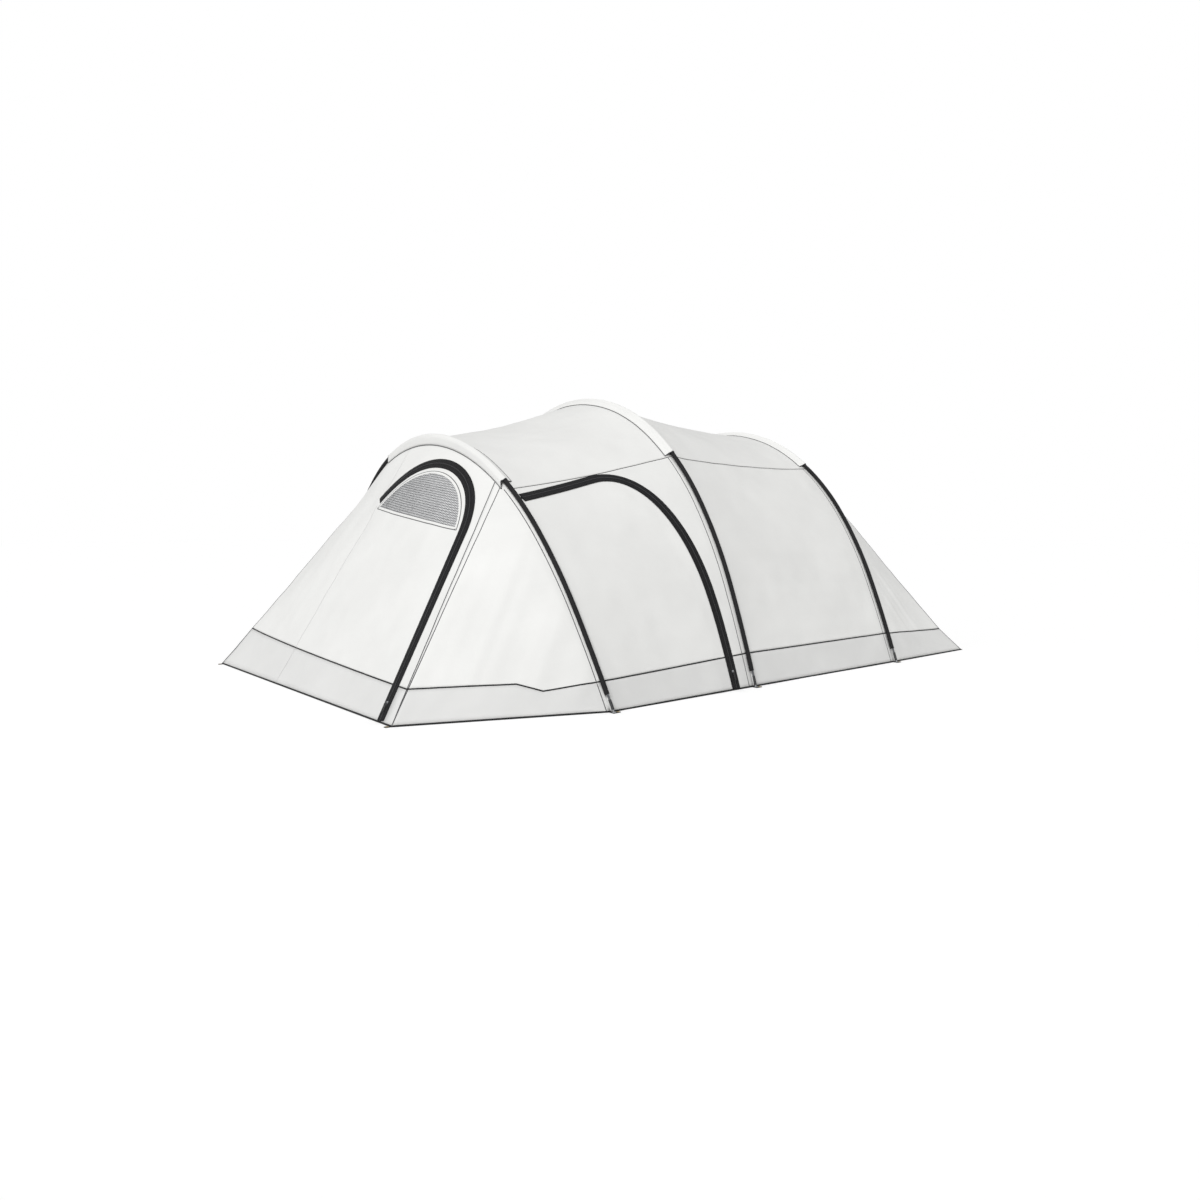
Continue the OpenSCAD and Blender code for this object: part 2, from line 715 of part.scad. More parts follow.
module front_roof() {
    color(fabric_white) cloth(bay_grid(FIRST, seam_share, mirrored(seam_share), ROOF_CELLS));
}
module rear_roof() {
    color(fabric_white) cloth(bay_grid(SECOND, seam_share, mirrored(seam_share), ROOF_CELLS));
}
module front_left_side() {
    color(fabric_white) cloth(bay_grid(FIRST, mirrored(seam_share), mirrored(skirt_share), SIDE_CELLS));
}
module rear_left_side() {
    color(fabric_white) cloth(bay_grid(SECOND, mirrored(seam_share), mirrored(skirt_share), SIDE_CELLS));
}
module rear_right_side() {
    color(fabric_white) cloth(bay_grid(SECOND, skirt_share, seam_share, SIDE_CELLS));
}
ground_share = [0, 0, 0];
module left_skirt() {
    color(skirt_white) for (q0 = [FIRST, SECOND])
        cloth(bay_grid(q0, mirrored(skirt_share), mirrored(ground_share), SKIRT_CELLS));
}

// ---- Front and rear faces ----

// Rows of an end face from its skirt's top to its hoop, or from the hem to the skirt's top
FACE_ROWS = 8;
function end_q(h, v) = h == FRONT ? v : LAST - v;
function face_grid(h, shares, rows = FACE_ROWS) =
    [for (w = steps(0, 1, rows)) [for (t = shares) [end_q(h, lerp(skirt_top(h, t), 1, w)), t]]];
function face_skirt_grid(h, shares) =
    [for (w = steps(0, 1, SKIRT_CELLS)) [for (t = shares) [end_q(h, w * skirt_top(h, t)), t]]];

// Shares of a cheek's width at which its panels have points, closer at the step in the skirt's seam
cheek_places = [0.12, 0.2, 0.29, step_low, 0.44, step_high, 0.65, 0.82, 1];
function cheek_shares(h) = [for (w = cheek_places) w * corner_share[h]];
foot_places = [0.02, 0.06, cheek_foot];
function foot_shares(h) = [for (w = foot_places) w * corner_share[h]];

module front_right_cheek() { color(fabric_white) cloth(face_grid(FRONT, cheek_shares(FRONT))); }
module front_left_cheek() { color(fabric_white) cloth(face_grid(FRONT, mirrored(cheek_shares(FRONT)))); }
module rear_right_cheek() { color(fabric_white) cloth(face_grid(REAR, cheek_shares(REAR))); }
module rear_left_cheek() { color(fabric_white) cloth(face_grid(REAR, mirrored(cheek_shares(REAR)))); }
module rear_panel() {
    color(fabric_white) cloth(face_grid(REAR, steps(corner_share[REAR], 1 - corner_share[REAR], 12)));
}
module rear_skirt() {
    rim = concat(foot_shares(REAR), cheek_shares(REAR));
    middle = steps(corner_share[REAR], 1 - corner_share[REAR], 12);
    color(skirt_white) {
        cloth(face_skirt_grid(REAR, rim));
        cloth(face_skirt_grid(REAR, middle));
        cloth(face_skirt_grid(REAR, mirrored(rim)));
    }
}

// Share of the front hoop whose line down the face reaches the hem at y
function front_share_at(y) =
    let (c = corner_share[FRONT]) lerp(c, 1 - c, (y + hem_half[FRONT]) / front_hem_width);
front_zip_share = front_share_at(-front_zip_foot);
fold_share = front_share_at(front_fold_foot);
setback_share = fabric_setback / fly_length(FRONT);
fold_gap_share = fold_gap / 2 / fly_length(FRONT);

// The arch is round as seen from the front, and runs on from the upright run of the zip
function front_view(p) = [p.y, p.z];
zip_low = front_view(end_hem(FRONT, front_zip_share));
zip_high = front_view(fly_edge(FRONT, front_zip_share));
zip_slant = (zip_high.x - zip_low.x) / (zip_high.y - zip_low.y);
arch_z = front_arch_height - front_arch_r;
arch_centre = [
    zip_low.x + zip_slant * (arch_z - zip_low.y) + front_arch_r * sqrt(1 + zip_slant * zip_slant),
    arch_z
];

// Height share at which the line at t crosses a circle about the arch's centre
function arch_v(t, r) =
    let (
        low = front_view(end_hem(FRONT, t)),
        d = front_view(fly_edge(FRONT, t)) - low,
        m = low - arch_centre,
        along = m * d
    )
    (-along + sqrt(max(0, along * along - (d * d) * (m * m - r * r)))) / (d * d);

ARCH_CELLS = 14;
function arch_shares(from, to) = [for (i = [0:ARCH_CELLS]) lerp(from, to, pow(i / ARCH_CELLS, 2))];

door_from = front_zip_share + setback_share;
door_to = fold_share - fold_gap_share;
DOOR_ROWS = 8;
function front_door_grid() =
    [for (w = steps(0, 1, DOOR_ROWS)) [for (t = arch_shares(door_from, door_to))
        [lerp(skirt_top(FRONT, t), arch_v(t, front_arch_r - fabric_setback), w), t]]];

// Strip of the front face from the zip out to the corner seam and the hoop
module front_surround() {
    inner_t = front_zip_share - setback_share;
    outer_r = front_arch_r + fabric_setback;
    corner_t = corner_share[FRONT];
    inner = concat(
        [for (v = steps(skirt_top(FRONT, inner_t), arch_v(inner_t, outer_r), FACE_ROWS)) [v, inner_t]],
        [for (i = [1:ARCH_CELLS]) let (t = arch_shares(inner_t, fold_share)[i]) [arch_v(t, outer_r), t]]
    );
    outer = concat(
        [for (v = steps(skirt_top(FRONT, corner_t), 1, FACE_ROWS)) [v, corner_t]],
        [for (i = [1:ARCH_CELLS]) [1, lerp(corner_t, fold_share, i / ARCH_CELLS)]]
    );
    color(fabric_white) cloth([for (w = steps(0, 1, 3)) [for (i = [0:len(inner) - 1]) lerp(inner[i], outer[i], w)]]);
}

module front_left_panel() {
    color(fabric_white)
        cloth(face_grid(FRONT, steps(fold_share + fold_gap_share, 1 - corner_share[FRONT], 6)));
}

module front_skirt() {
    rim = concat(foot_shares(FRONT), cheek_shares(FRONT));
    color(skirt_white) {
        cloth(face_skirt_grid(FRONT, concat(rim, [front_zip_share - setback_share])));
        cloth(face_skirt_grid(FRONT, mirrored(rim)));
        cloth(face_skirt_grid(FRONT, steps(fold_share + fold_gap_share, 1 - corner_share[FRONT], 6)));
    }
}

// ---- Front door ----

module vent_outline(grow) {
    intersection() {
        translate(arch_centre) circle(r = front_arch_r - vent_margin + grow);
        translate([arch_centre.x, front_arch_height - vent_drop]) rotate([0, 0, vent_slope])
            translate([-front_arch_r, -grow]) square(2 * front_arch_r);
    }
}

// Prism along X through the front face
module through_front() {
    translate([-half_length - 1, 0, 0]) rotate([90, 0, 90]) linear_extrude(porch_length + 1) children();
}

module front_door() {
    color(fabric_white) difference() {
        cloth(front_door_grid());
        through_front() vent_outline(0);
    }
}
module front_door_skirt() {
    color(skirt_white) cloth(face_skirt_grid(FRONT, arch_shares(door_from, door_to)));
}
mesh_t = 0.6;
module front_vent_mesh() {
    color(mesh_grey) intersection() {
        cloth(front_door_grid(), -mesh_t / 2, mesh_t);
        through_front() vent_outline(-seam_gap);
    }
}
module front_vent_binding() {
    color(fabric_white) intersection() {
        cloth(front_door_grid(), seam_gap + tape_t, tape_t);
        through_front() difference() {
            vent_outline(vent_binding / 2);
            vent_outline(-vent_binding / 2);
        }
    }
}

// ---- Zips: a flat tape each side of a chain of coils, laid along a path up from the ground ----

chain_half = chain_w / 2;
cavity_half = chain_half + slider_clearance;
slider_half = cavity_half + 2 * slider_wall;
door_tape_start = slider_half + 1.2;
tape_top = tape_lift + tape_t;
chain_low = tape_top + chain_lift;
chain_top = chain_low + chain_t;
// Start of a zip above the hem
zip_start = 12;
zip_end_gap = 6;

// Place, direction, side towards the door and outward direction at each point of a path
function frames(points, normals) = [
    for (i = [0:len(points) - 1])
        let (
            t = unit(points[min(i + 1, len(points) - 1)] - points[max(i - 1, 0)]),
            b = unit(cross(normals[i], t))
        )
        [points[i], t, b, cross(t, b)]
];

module ribbon(track, side0, side1, low, high) {
    slab(
        [for (f = track) [f[0] + f[2] * side0 + f[3] * high, f[0] + f[2] * side1 + f[3] * high]],
        [for (f = track) [f[0] + f[2] * side0 + f[3] * low, f[0] + f[2] * side1 + f[3] * low]]
    );
}
module fixed_tape(track) { color(zip_black) ribbon(track, -tape_w, chain_half, tape_lift, tape_top); }
module door_tape(track) { color(zip_black) ribbon(track, door_tape_start, tape_w, tape_lift, tape_top); }
module chain(track) { color(zip_black) ribbon(track, -chain_half, chain_half, chain_low, chain_top); }

// Frame at the lower end of a slider parked on the straight run between two points
function park_frame(low, high, n, park) =
    let (t = unit(high - low), b = unit(cross(n, t))) [low + t * park, t, b, cross(t, b)];

module on_zip(f) {
    multmatrix([
        [-f[2].x, f[1].x, f[3].x, f[0].x],
        [-f[2].y, f[1].y, f[3].y, f[0].y],
        [-f[2].z, f[1].z, f[3].z, f[0].z]
    ]) children();
}

slider_floor = tape_lift - 2 * slider_clearance;
slider_roof = chain_top + slider_clearance;
lip_low = tape_top + 2 * slider_clearance;
plate_top = slider_roof + slider_wall;
pin_y = 0.6 * slider_length;
bail_rise = 3.4;
pin_z = plate_top + bail_rise;
barrel_r = 2;
puller_eye_half = 2.8;
ear_gap = 0.3;
ear_t = 1.2;

// Slider wrapped round the chain, open on the side where the fixed tape leaves
module slider() {
    color(steel) {
        intersection() {
            translate([0, slider_length, 0]) rotate([90, 0, 0]) linear_extrude(slider_length) difference() {
                translate([-slider_half, slider_floor - slider_wall])
                    square([2 * slider_half, plate_top - slider_floor + slider_wall]);
                translate([-cavity_half, slider_floor]) square([2 * cavity_half, slider_roof - slider_floor]);
                translate([0, slider_floor]) square([2 * slider_half, lip_low - slider_floor]);
            }
            translate([0, 0, slider_floor - 2 * slider_wall]) linear_extrude(2 * plate_top) polygon([
                [-cavity_half - slider_wall, 0], [cavity_half + slider_wall, 0],
                [slider_half, slider_length / 2], [slider_half, slider_length],
                [-slider_half, slider_length], [-slider_half, slider_length / 2]
            ]);
        }
        for (side = [-1, 1]) {
            x = side * (puller_eye_half + ear_gap + ear_t / 2);
            translate([x, pin_y, pin_z]) rotate([0, 90, 0]) cylinder(r = barrel_r, h = ear_t, center = true);
            translate([x - ear_t / 2, pin_y - barrel_r, plate_top - slider_wall / 2])
                cube([ear_t, 2 * barrel_r, pin_z - plate_top + slider_wall / 2]);
        }
        translate([0, pin_y, pin_z]) rotate([0, 90, 0])
            cylinder(d = bail_d, h = 2 * (puller_eye_half + ear_gap) + ear_t, center = true);
    }
}

bail_running = 0.06;
module puller() {
    color(zip_black) translate([0, pin_y, pin_z]) {
        difference() {
            rotate([0, 90, 0]) cylinder(r = barrel_r, h = 2 * puller_eye_half, center = true);
            rotate([0, 90, 0]) cylinder(r = bail_d / 2 + bail_running, h = 3 * puller_eye_half, center = true);
        }
        translate([0, 0, -puller_t / 2]) linear_extrude(puller_t) difference() {
            union() {
                polygon([
                    [-puller_eye_half, -barrel_r * 0.7], [puller_eye_half, -barrel_r * 0.7],
                    [puller_w / 2, -3 * barrel_r], [puller_w / 2, -puller_length],
                    [-puller_w / 2, -puller_length], [-puller_w / 2, -3 * barrel_r]
                ]);
                translate([0, -puller_length]) circle(d = puller_w);
            }
            translate([0, -puller_length]) circle(d = puller_w / 2);
        }
    }
}

// ---- Front zip ----

front_leg_top = arch_v(front_zip_share, front_arch_r);
front_leg_length = norm(fly(front_leg_top, front_zip_share) - fly(0, front_zip_share));
front_leg_start = zip_start / front_leg_length * front_leg_top;
front_leg_normal = true_normal(front_leg_top / 2, front_zip_share);
front_path = concat(
    [for (v = steps(front_leg_start, front_leg_top, 6)) [v, front_zip_share]],
    [for (t = arch_shares(front_zip_share, fold_share - setback_share)) if (t > front_zip_share)
        [arch_v(t, front_arch_r), t]]
);
front_points = [for (c = front_path) fly(c[0], c[1])];
front_track = frames(front_points, [for (c = front_path) true_normal(c[0], c[1])]);
front_chain_track = frames(front_points, [for (c = front_path)
    c[1] > front_zip_share ? true_normal(c[0], c[1]) : front_leg_normal]);
front_park = park_frame(front_points[0], fly(front_leg_top, front_zip_share), front_leg_normal, slider_park);

module front_zip_fly_tape() { fixed_tape(front_track); }
module front_zip_door_tape() { door_tape(front_track); }
module front_zip_chain() { chain(front_chain_track); }
module front_zip_slider() { on_zip(front_park) slider(); }
module front_zip_puller() { on_zip(front_park) puller(); }

// ---- Side door between the front and middle hoops ----

side_top_share = [for (h = HOOPS) share(h, side_zip_top)];
side_bend_share = [for (h = HOOPS) side_zip_bend / fly_length(h)];
CORNER_CELLS = 9;
TOP_CELLS = 4;
LEG_CELLS = 3;

function side_q(x) = FIRST + x / living_length;
// Point of the zip's line, offset away from the door, at angle a round its corner
function side_corner(a, offset) =
    let (
        power = 2 / side_zip_squareness,
        q = side_q(lerp(side_zip_straight, side_zip_reach + offset, pow(cos(a), power))),
        top = by_hoop(side_top_share, q) + offset / fly_length(FRONT)
    )
    [q, lerp(by_hoop(side_bend_share, q), top, pow(sin(a), power))];
function side_leg(offset, low) =
    let (q = side_q(side_zip_reach + offset))
    [for (t = steps(low, by_hoop(side_bend_share, q), LEG_CELLS)) [q, t]];
function side_top(offset, from, to) =
    [for (x = steps(from, to, TOP_CELLS))
        let (q = side_q(x)) [q, by_hoop(side_top_share, q) + offset / fly_length(FRONT)]];
function side_line(offset, low, end) = concat(
    side_leg(offset, low),
    [for (i = [1:CORNER_CELLS - 1]) side_corner(90 * i / CORNER_CELLS, offset)],
    side_top(offset, side_zip_straight, end)
);

module side_surround() {
    leg_q = side_q(side_zip_reach + fabric_setback);
    inner = side_line(fabric_setback, by_hoop(skirt_share, leg_q), 0);
    rim = LEG_CELLS + CORNER_CELLS + TOP_CELLS - BAY_CELLS;
    outer = concat(
        [for (t = steps(skirt_share[MIDDLE], seam_share[MIDDLE], rim)) [SECOND, t]],
        [for (i = [1:BAY_CELLS]) let (q = SECOND - i / BAY_CELLS) [q, by_hoop(seam_share, q)]]
    );
    color(fabric_white) {
        cloth([for (w = steps(0, 1, 4)) [for (i = [0:len(inner) - 1]) lerp(inner[i], outer[i], w)]]);
        cloth([for (q = [FIRST, side_q(side_hinge_gap - fold_gap)])
            [for (t = steps(0, side_top_share[FRONT] - setback_share, SIDE_CELLS)) [q, t]]]);
    }
}

side_door_columns = concat(
    side_top(-fabric_setback, side_hinge_gap, side_zip_straight),
    [for (i = [CORNER_CELLS - 1:-1:0]) side_corner(90 * i / CORNER_CELLS, -fabric_setback)]
);
module side_door() {
    color(fabric_white) cloth([for (c = side_door_columns)
        [for (t = steps(by_hoop(skirt_share, c[0]), c[1], SIDE_CELLS)) [c[0], t]]]);
}
module side_door_skirt() {
    color(skirt_white) cloth([for (c = side_door_columns)
        [for (t = steps(0, by_hoop(skirt_share, c[0]), SKIRT_CELLS)) [c[0], t]]]);
}
module right_skirt() {
    leg_q = side_q(side_zip_reach + fabric_setback);
    color(skirt_white) {
        cloth([for (q = steps(leg_q, SECOND, 2))
            [for (t = steps(0, by_hoop(skirt_share, q), SKIRT_CELLS)) [q, t]]]);
        cloth(bay_grid(SECOND, ground_share, skirt_share, SKIRT_CELLS));
    }
}

side_leg_q = side_q(side_zip_reach);
side_start_share = zip_start / fly_length(FRONT);
side_foot = [side_leg_q, side_start_share];
side_bend = [side_leg_q, by_hoop(side_bend_share, side_leg_q)];
side_leg_normal = true_normal(side_leg_q, side_bend[1] / 2);
side_path = concat(
    [side_foot],
    [for (i = [0:CORNER_CELLS - 1]) side_corner(90 * i / CORNER_CELLS, 0)],
    side_top(0, side_zip_straight, side_hinge_gap + zip_end_gap)
);
// The zip pulls straight where the fly bends, so it stands a little proud
side_zip_rise = 1.2;
side_points = [for (c = side_path) skin(c[0], c[1], side_zip_rise)];
side_track = frames(side_points, [for (c = side_path)
    c[1] <= side_bend[1] ? side_leg_normal : true_normal(c[0], c[1])]);
side_park = park_frame(side_points[0], side_points[1], side_leg_normal, slider_park);

module side_zip_fly_tape() { fixed_tape(side_track); }
module side_zip_door_tape() { door_tape(side_track); }
module side_zip_chain() { chain(side_track); }
module side_zip_slider() { on_zip(side_park) slider(); }
module side_zip_puller() { on_zip(side_park) puller(); }

// ---- Bedroom hung inside the rear half ----

bedroom_x = hoop_x[MIDDLE] + bedroom_setback;
bedroom_rear_x = hem_x[REAR] - bedroom_rear_gap;
function inner_edge(h, t, depth) = stand(h, hoop_point(h, t, -inner_gap - depth));
tray_share = [
    for (h = HOOPS)
        (tray_height - inner_edge(h, 0, 0).z) / (pole_length(h) * sin(pole_angle(h, 0)) * cos(hoop_lean[h]))
];
function around(h, w, depth) = inner_edge(h, lerp(tray_share[h], 1 - tray_share[h], w), depth);

// Canopy over the bay: u from the front wall to the rear hoop, w from the right tray to the left
function canopy(u, w, depth) =
    let (
        a = around(MIDDLE, w, depth),
        b = around(REAR, w, depth),
        start = (bedroom_x - a.x) / (b.x - a.x)
    )
    lerp(a, b, lerp(start, 1, u));

bedroom_corner = 0.3;
bedroom_taper = 20;
bedroom_rear_half = -around(REAR, 0, 0).y - bedroom_taper;
function rear_sill(w, depth) =
    let (
        s = min(w, 1 - w),
        side = w < 0.5 ? -1 : 1,
        corner = [bedroom_rear_x - depth, side * (bedroom_rear_half - depth), tray_height]
    )
    s < bedroom_corner ? lerp(around(REAR, w < 0.5 ? 0 : 1, depth), corner, s / bedroom_corner)
    : [corner.x, lerp(-1, 1, (w - bedroom_corner) / (1 - 2 * bedroom_corner)) * (bedroom_rear_half - depth), tray_height];

module bedroom_panel(places) {
    color(inner_white) slab(
        [for (u = steps(0, 1, 4)) [for (w = places) canopy(u, w, 0)]],
        [for (u = steps(0, 1, 4)) [for (w = places) canopy(u, w, inner_t)]]
    );
}
module bedroom_right_wall() { bedroom_panel(steps(0, bedroom_corner, 7)); }
module bedroom_roof() { bedroom_panel(steps(bedroom_corner, 1 - bedroom_corner, 10)); }
module bedroom_left_wall() { bedroom_panel(steps(1 - bedroom_corner, 1, 7)); }

module bedroom_rear_wall() {
    rim = steps(0.02, bedroom_corner, 6);
    places = concat(rim, [for (w = steps(bedroom_corner, 1 - bedroom_corner, 8)) if (w > bedroom_corner) w],
        [for (i = [5:-1:0]) 1 - rim[i]]);
    color(inner_white) slab(
        [for (v = steps(0, 1, 4)) [for (w = places) lerp(around(REAR, w, 0), rear_sill(w, 0), v)]],
        [for (v = steps(0, 1, 4)) [for (w = places) lerp(around(REAR, w, inner_t), rear_sill(w, inner_t), v)]]
    );
}

module tray_outline(inset) {
    front_half = -canopy(0, 0, 0).y - inset;
    hoop_half = -around(REAR, 0, 0).y - inset;
    rear_half = bedroom_rear_half - inset;
    hoop_at = around(REAR, 0, 0).x;
    polygon([
        [bedroom_x + inset, -front_half], [hoop_at, -hoop_half], [bedroom_rear_x - inset, -rear_half],
        [bedroom_rear_x - inset, rear_half], [hoop_at, hoop_half], [bedroom_x + inset, front_half]
    ]);
}
module bedroom_tray() {
    color(floor_grey) {
        linear_extrude(groundsheet_t) tray_outline(0);
        linear_extrude(tray_height - inner_t - seam_gap) difference() {
            tray_outline(0);
            tray_outline(inner_t);
        }
    }
}

// The door's zip in the front wall's plane, as [y, z]: along the sill, up and over to the fold
door_half = bedroom_door_w / 2;
door_sill_rise = 30;
door_sill = tray_height + door_sill_rise;
door_arch_z = door_sill + bedroom_door_h - door_half;
door_corner_r = 90;
fold_end = 40;
function around_point(c, r, from, to, n) = [for (a = steps(from, to, n)) c + r * [cos(a), sin(a)]];
function bedroom_line(offset) = concat(
    around_point([door_corner_r - door_half, door_sill + door_corner_r], door_corner_r + offset, 270, 180, 5),
    around_point([0, door_arch_z], door_half + offset, 180, 0, 18)
);
wall_x = bedroom_x - seam_gap - inner_t;
module in_front_wall() {
    translate([wall_x, 0, 0]) rotate([90, 0, 90]) linear_extrude(inner_t) children();
}
module bedroom_front_wall() {
    brim = [for (w = steps(0, 1, 24)) let (p = canopy(0, w, 0)) [p.y, p.z]];
    color(inner_white) in_front_wall() difference() {
        polygon(concat(brim, [[brim[24].x, groundsheet_t], [brim[0].x, groundsheet_t]]));
        polygon(concat(
            [[door_half, door_sill - fabric_setback]],
            bedroom_line(fabric_setback),
            [[door_half, door_arch_z - fold_end]]
        ));
    }
}
module bedroom_door() {
    color(inner_white) in_front_wall() polygon(concat(
        [[door_half - fold_gap, door_sill + fabric_setback]],
        bedroom_line(-fabric_setback),
        [[door_half - fold_gap, door_arch_z - fold_end]]
    ));
}

// The zip stops short of the fold at both ends
bedroom_line_used = concat(
    [[door_half - tape_w, door_sill]],
    around_point([door_corner_r - door_half, door_sill + door_corner_r], door_corner_r, 270, 180, 5),
    around_point([0, door_arch_z], door_half, 180, 20, 16)
);
bedroom_points = [for (p = bedroom_line_used) [wall_x, p.x, p.y]];
bedroom_track = frames(bedroom_points, [for (p = bedroom_points) [-1, 0, 0]]);
bedroom_park = park_frame(bedroom_points[6], bedroom_points[7], [-1, 0, 0], slider_park);

module bedroom_zip() {
    fixed_tape(bedroom_track);
    chain(bedroom_track);
}
module bedroom_door_tape() { door_tape(bedroom_track); }
module bedroom_zip_slider() { on_zip(bedroom_park) slider(); }
module bedroom_zip_puller() { on_zip(bedroom_park) puller(); }

// Toggles between the fly's roof and the bedroom's, one grid row inside the middle and the rear hoop
toggle_gap = 0.7;
module hanging_toggle(q, t) {
    top = skin(q, t, -fabric_t - seam_gap / 2);
    down = -facing(q, t);
    sag = bedroom_sag * 4 * (q - SECOND) * (THIRD - q) * sin(180 * t);
    drop = inner_gap - fly_drop - fabric_t - sag - toggle_gap;
    color(nylon_black) {
        rod(top, top + down * drop, toggle_d / 4);
        rod(top + down * drop * 0.25, top + down * drop * 0.75, toggle_d / 2);
    }
}
module hanging_toggles() {
    for (q = [SECOND + 1 / BAY_CELLS, THIRD - 1 / BAY_CELLS], i = [0:toggles_per_hoop - 1]) {
        low = by_hoop(seam_share, q);
        cell = round(lerp(1, ROOF_CELLS - 1, i / (toggles_per_hoop - 1)));
        hanging_toggle(q, lerp(low, 1 - low, cell / ROOF_CELLS));
    }
}

front_pole();
middle_pole();
rear_pole();
pole_ferrules();
shock_cords();
pole_end_tips();
foot_pins();
peg_tabs();
peg_eyelets();
front_sleeves();
middle_sleeves();
rear_sleeves();
front_hood();
middle_hood();
rear_hood();
front_roof();
rear_roof();
front_left_side();
rear_left_side();
rear_right_side();
side_surround();
front_right_cheek();
front_left_cheek();
rear_right_cheek();
rear_left_cheek();
front_surround();
front_left_panel();
rear_panel();
front_skirt();
left_skirt();
right_skirt();
rear_skirt();
front_door();
front_door_skirt();
front_vent_mesh();
front_vent_binding();
front_zip_fly_tape();
front_zip_door_tape();
front_zip_chain();
front_zip_slider();
front_zip_puller();
side_door();
side_door_skirt();
side_zip_fly_tape();
side_zip_door_tape();
side_zip_chain();
side_zip_slider();
side_zip_puller();
bedroom_tray();
bedroom_right_wall();
bedroom_left_wall();
bedroom_roof();
bedroom_rear_wall();
bedroom_front_wall();
bedroom_door();
bedroom_zip();
bedroom_door_tape();
bedroom_zip_slider();
bedroom_zip_puller();
hanging_toggles();
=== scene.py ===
import json
import math

import bpy
import numpy as np
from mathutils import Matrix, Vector
from mathutils.kdtree import KDTree

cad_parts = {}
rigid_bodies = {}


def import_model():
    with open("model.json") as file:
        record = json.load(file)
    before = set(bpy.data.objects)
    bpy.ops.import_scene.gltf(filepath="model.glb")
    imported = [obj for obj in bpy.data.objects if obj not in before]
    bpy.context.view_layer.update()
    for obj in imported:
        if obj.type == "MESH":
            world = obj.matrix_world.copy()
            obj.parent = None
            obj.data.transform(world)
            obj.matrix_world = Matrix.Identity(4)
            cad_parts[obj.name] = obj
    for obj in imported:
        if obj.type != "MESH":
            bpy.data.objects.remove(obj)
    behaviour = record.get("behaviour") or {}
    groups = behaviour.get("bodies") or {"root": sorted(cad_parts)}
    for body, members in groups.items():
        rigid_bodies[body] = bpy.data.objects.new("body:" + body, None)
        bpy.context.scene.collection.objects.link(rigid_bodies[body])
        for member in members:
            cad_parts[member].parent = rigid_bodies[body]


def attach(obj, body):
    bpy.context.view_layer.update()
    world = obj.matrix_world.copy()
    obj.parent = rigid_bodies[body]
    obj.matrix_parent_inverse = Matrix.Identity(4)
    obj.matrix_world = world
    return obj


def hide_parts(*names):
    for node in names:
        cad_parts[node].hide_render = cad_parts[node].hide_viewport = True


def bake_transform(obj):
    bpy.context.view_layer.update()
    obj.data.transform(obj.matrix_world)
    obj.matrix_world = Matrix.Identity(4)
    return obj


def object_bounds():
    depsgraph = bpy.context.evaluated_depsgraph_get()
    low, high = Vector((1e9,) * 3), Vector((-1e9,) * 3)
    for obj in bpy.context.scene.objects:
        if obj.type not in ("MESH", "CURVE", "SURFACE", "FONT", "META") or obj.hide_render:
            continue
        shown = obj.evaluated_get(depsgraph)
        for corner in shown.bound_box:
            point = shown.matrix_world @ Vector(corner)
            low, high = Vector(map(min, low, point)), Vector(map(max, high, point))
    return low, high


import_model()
cad_box = [list(map(float, corner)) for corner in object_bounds()]


def lerp(a, b, w):
    return a + (b - a) * w


def unit(v):
    return v / np.linalg.norm(v, axis=-1, keepdims=True)


def smooth(w):
    w = np.clip(w, 0, 1)
    return w * w * (3 - 2 * w)


def even(count):
    """A column of even steps from 0 to 1."""
    return np.linspace(0, 1, count)[:, None]


def stacked(*parts):
    """Points whose coordinates are the parts, spread to one shape."""
    return np.stack(np.broadcast_arrays(*parts), -1)


def line(a, b, count):
    """Points of a straight line from a to b."""
    return lerp(np.asarray(a, float), np.asarray(b, float), even(count))


def circle(r, count):
    a = np.linspace(0, 2 * np.pi, count, endpoint=False)
    return r * stacked(np.cos(a), np.sin(a))


def lengths(p, axis):
    """Length run along an axis of an array of points, from 0."""
    d = np.linalg.norm(np.diff(p, axis=axis), axis=-1)
    zero = np.zeros_like(np.take(d, [0], axis=axis))
    return np.concatenate([zero, np.cumsum(d, axis=axis)], axis=axis)


def add_object(name, data):
    obj = bpy.data.objects.new(name, data)
    bpy.context.scene.collection.objects.link(obj)
    return obj


# ---- camera

SENSOR, LENS = 36.0, 27.5616
SHIFT = (-1 / 24, -1 / 30)
EYE = (-4.0292, -5.1941, 0.9561)
YAW, PITCH = 0.84836, 0.043415

camera_data = bpy.data.cameras.new("camera")
camera_data.sensor_width = SENSOR
camera_data.lens = LENS
camera_data.shift_x, camera_data.shift_y = SHIFT
camera = add_object("camera", camera_data)
camera.location = EYE
camera.rotation_euler = (math.pi / 2 - PITCH, 0.0, YAW - math.pi / 2)
bpy.context.scene.camera = camera

# ---- the tent's shape
# The same sizes as the CAD model's, in metres. A place on the fly is (q, t): q counts from the front
# hem (0) over the three hoops (1, 2, 3) to the rear hem (4), and t runs from the right hem to the left.

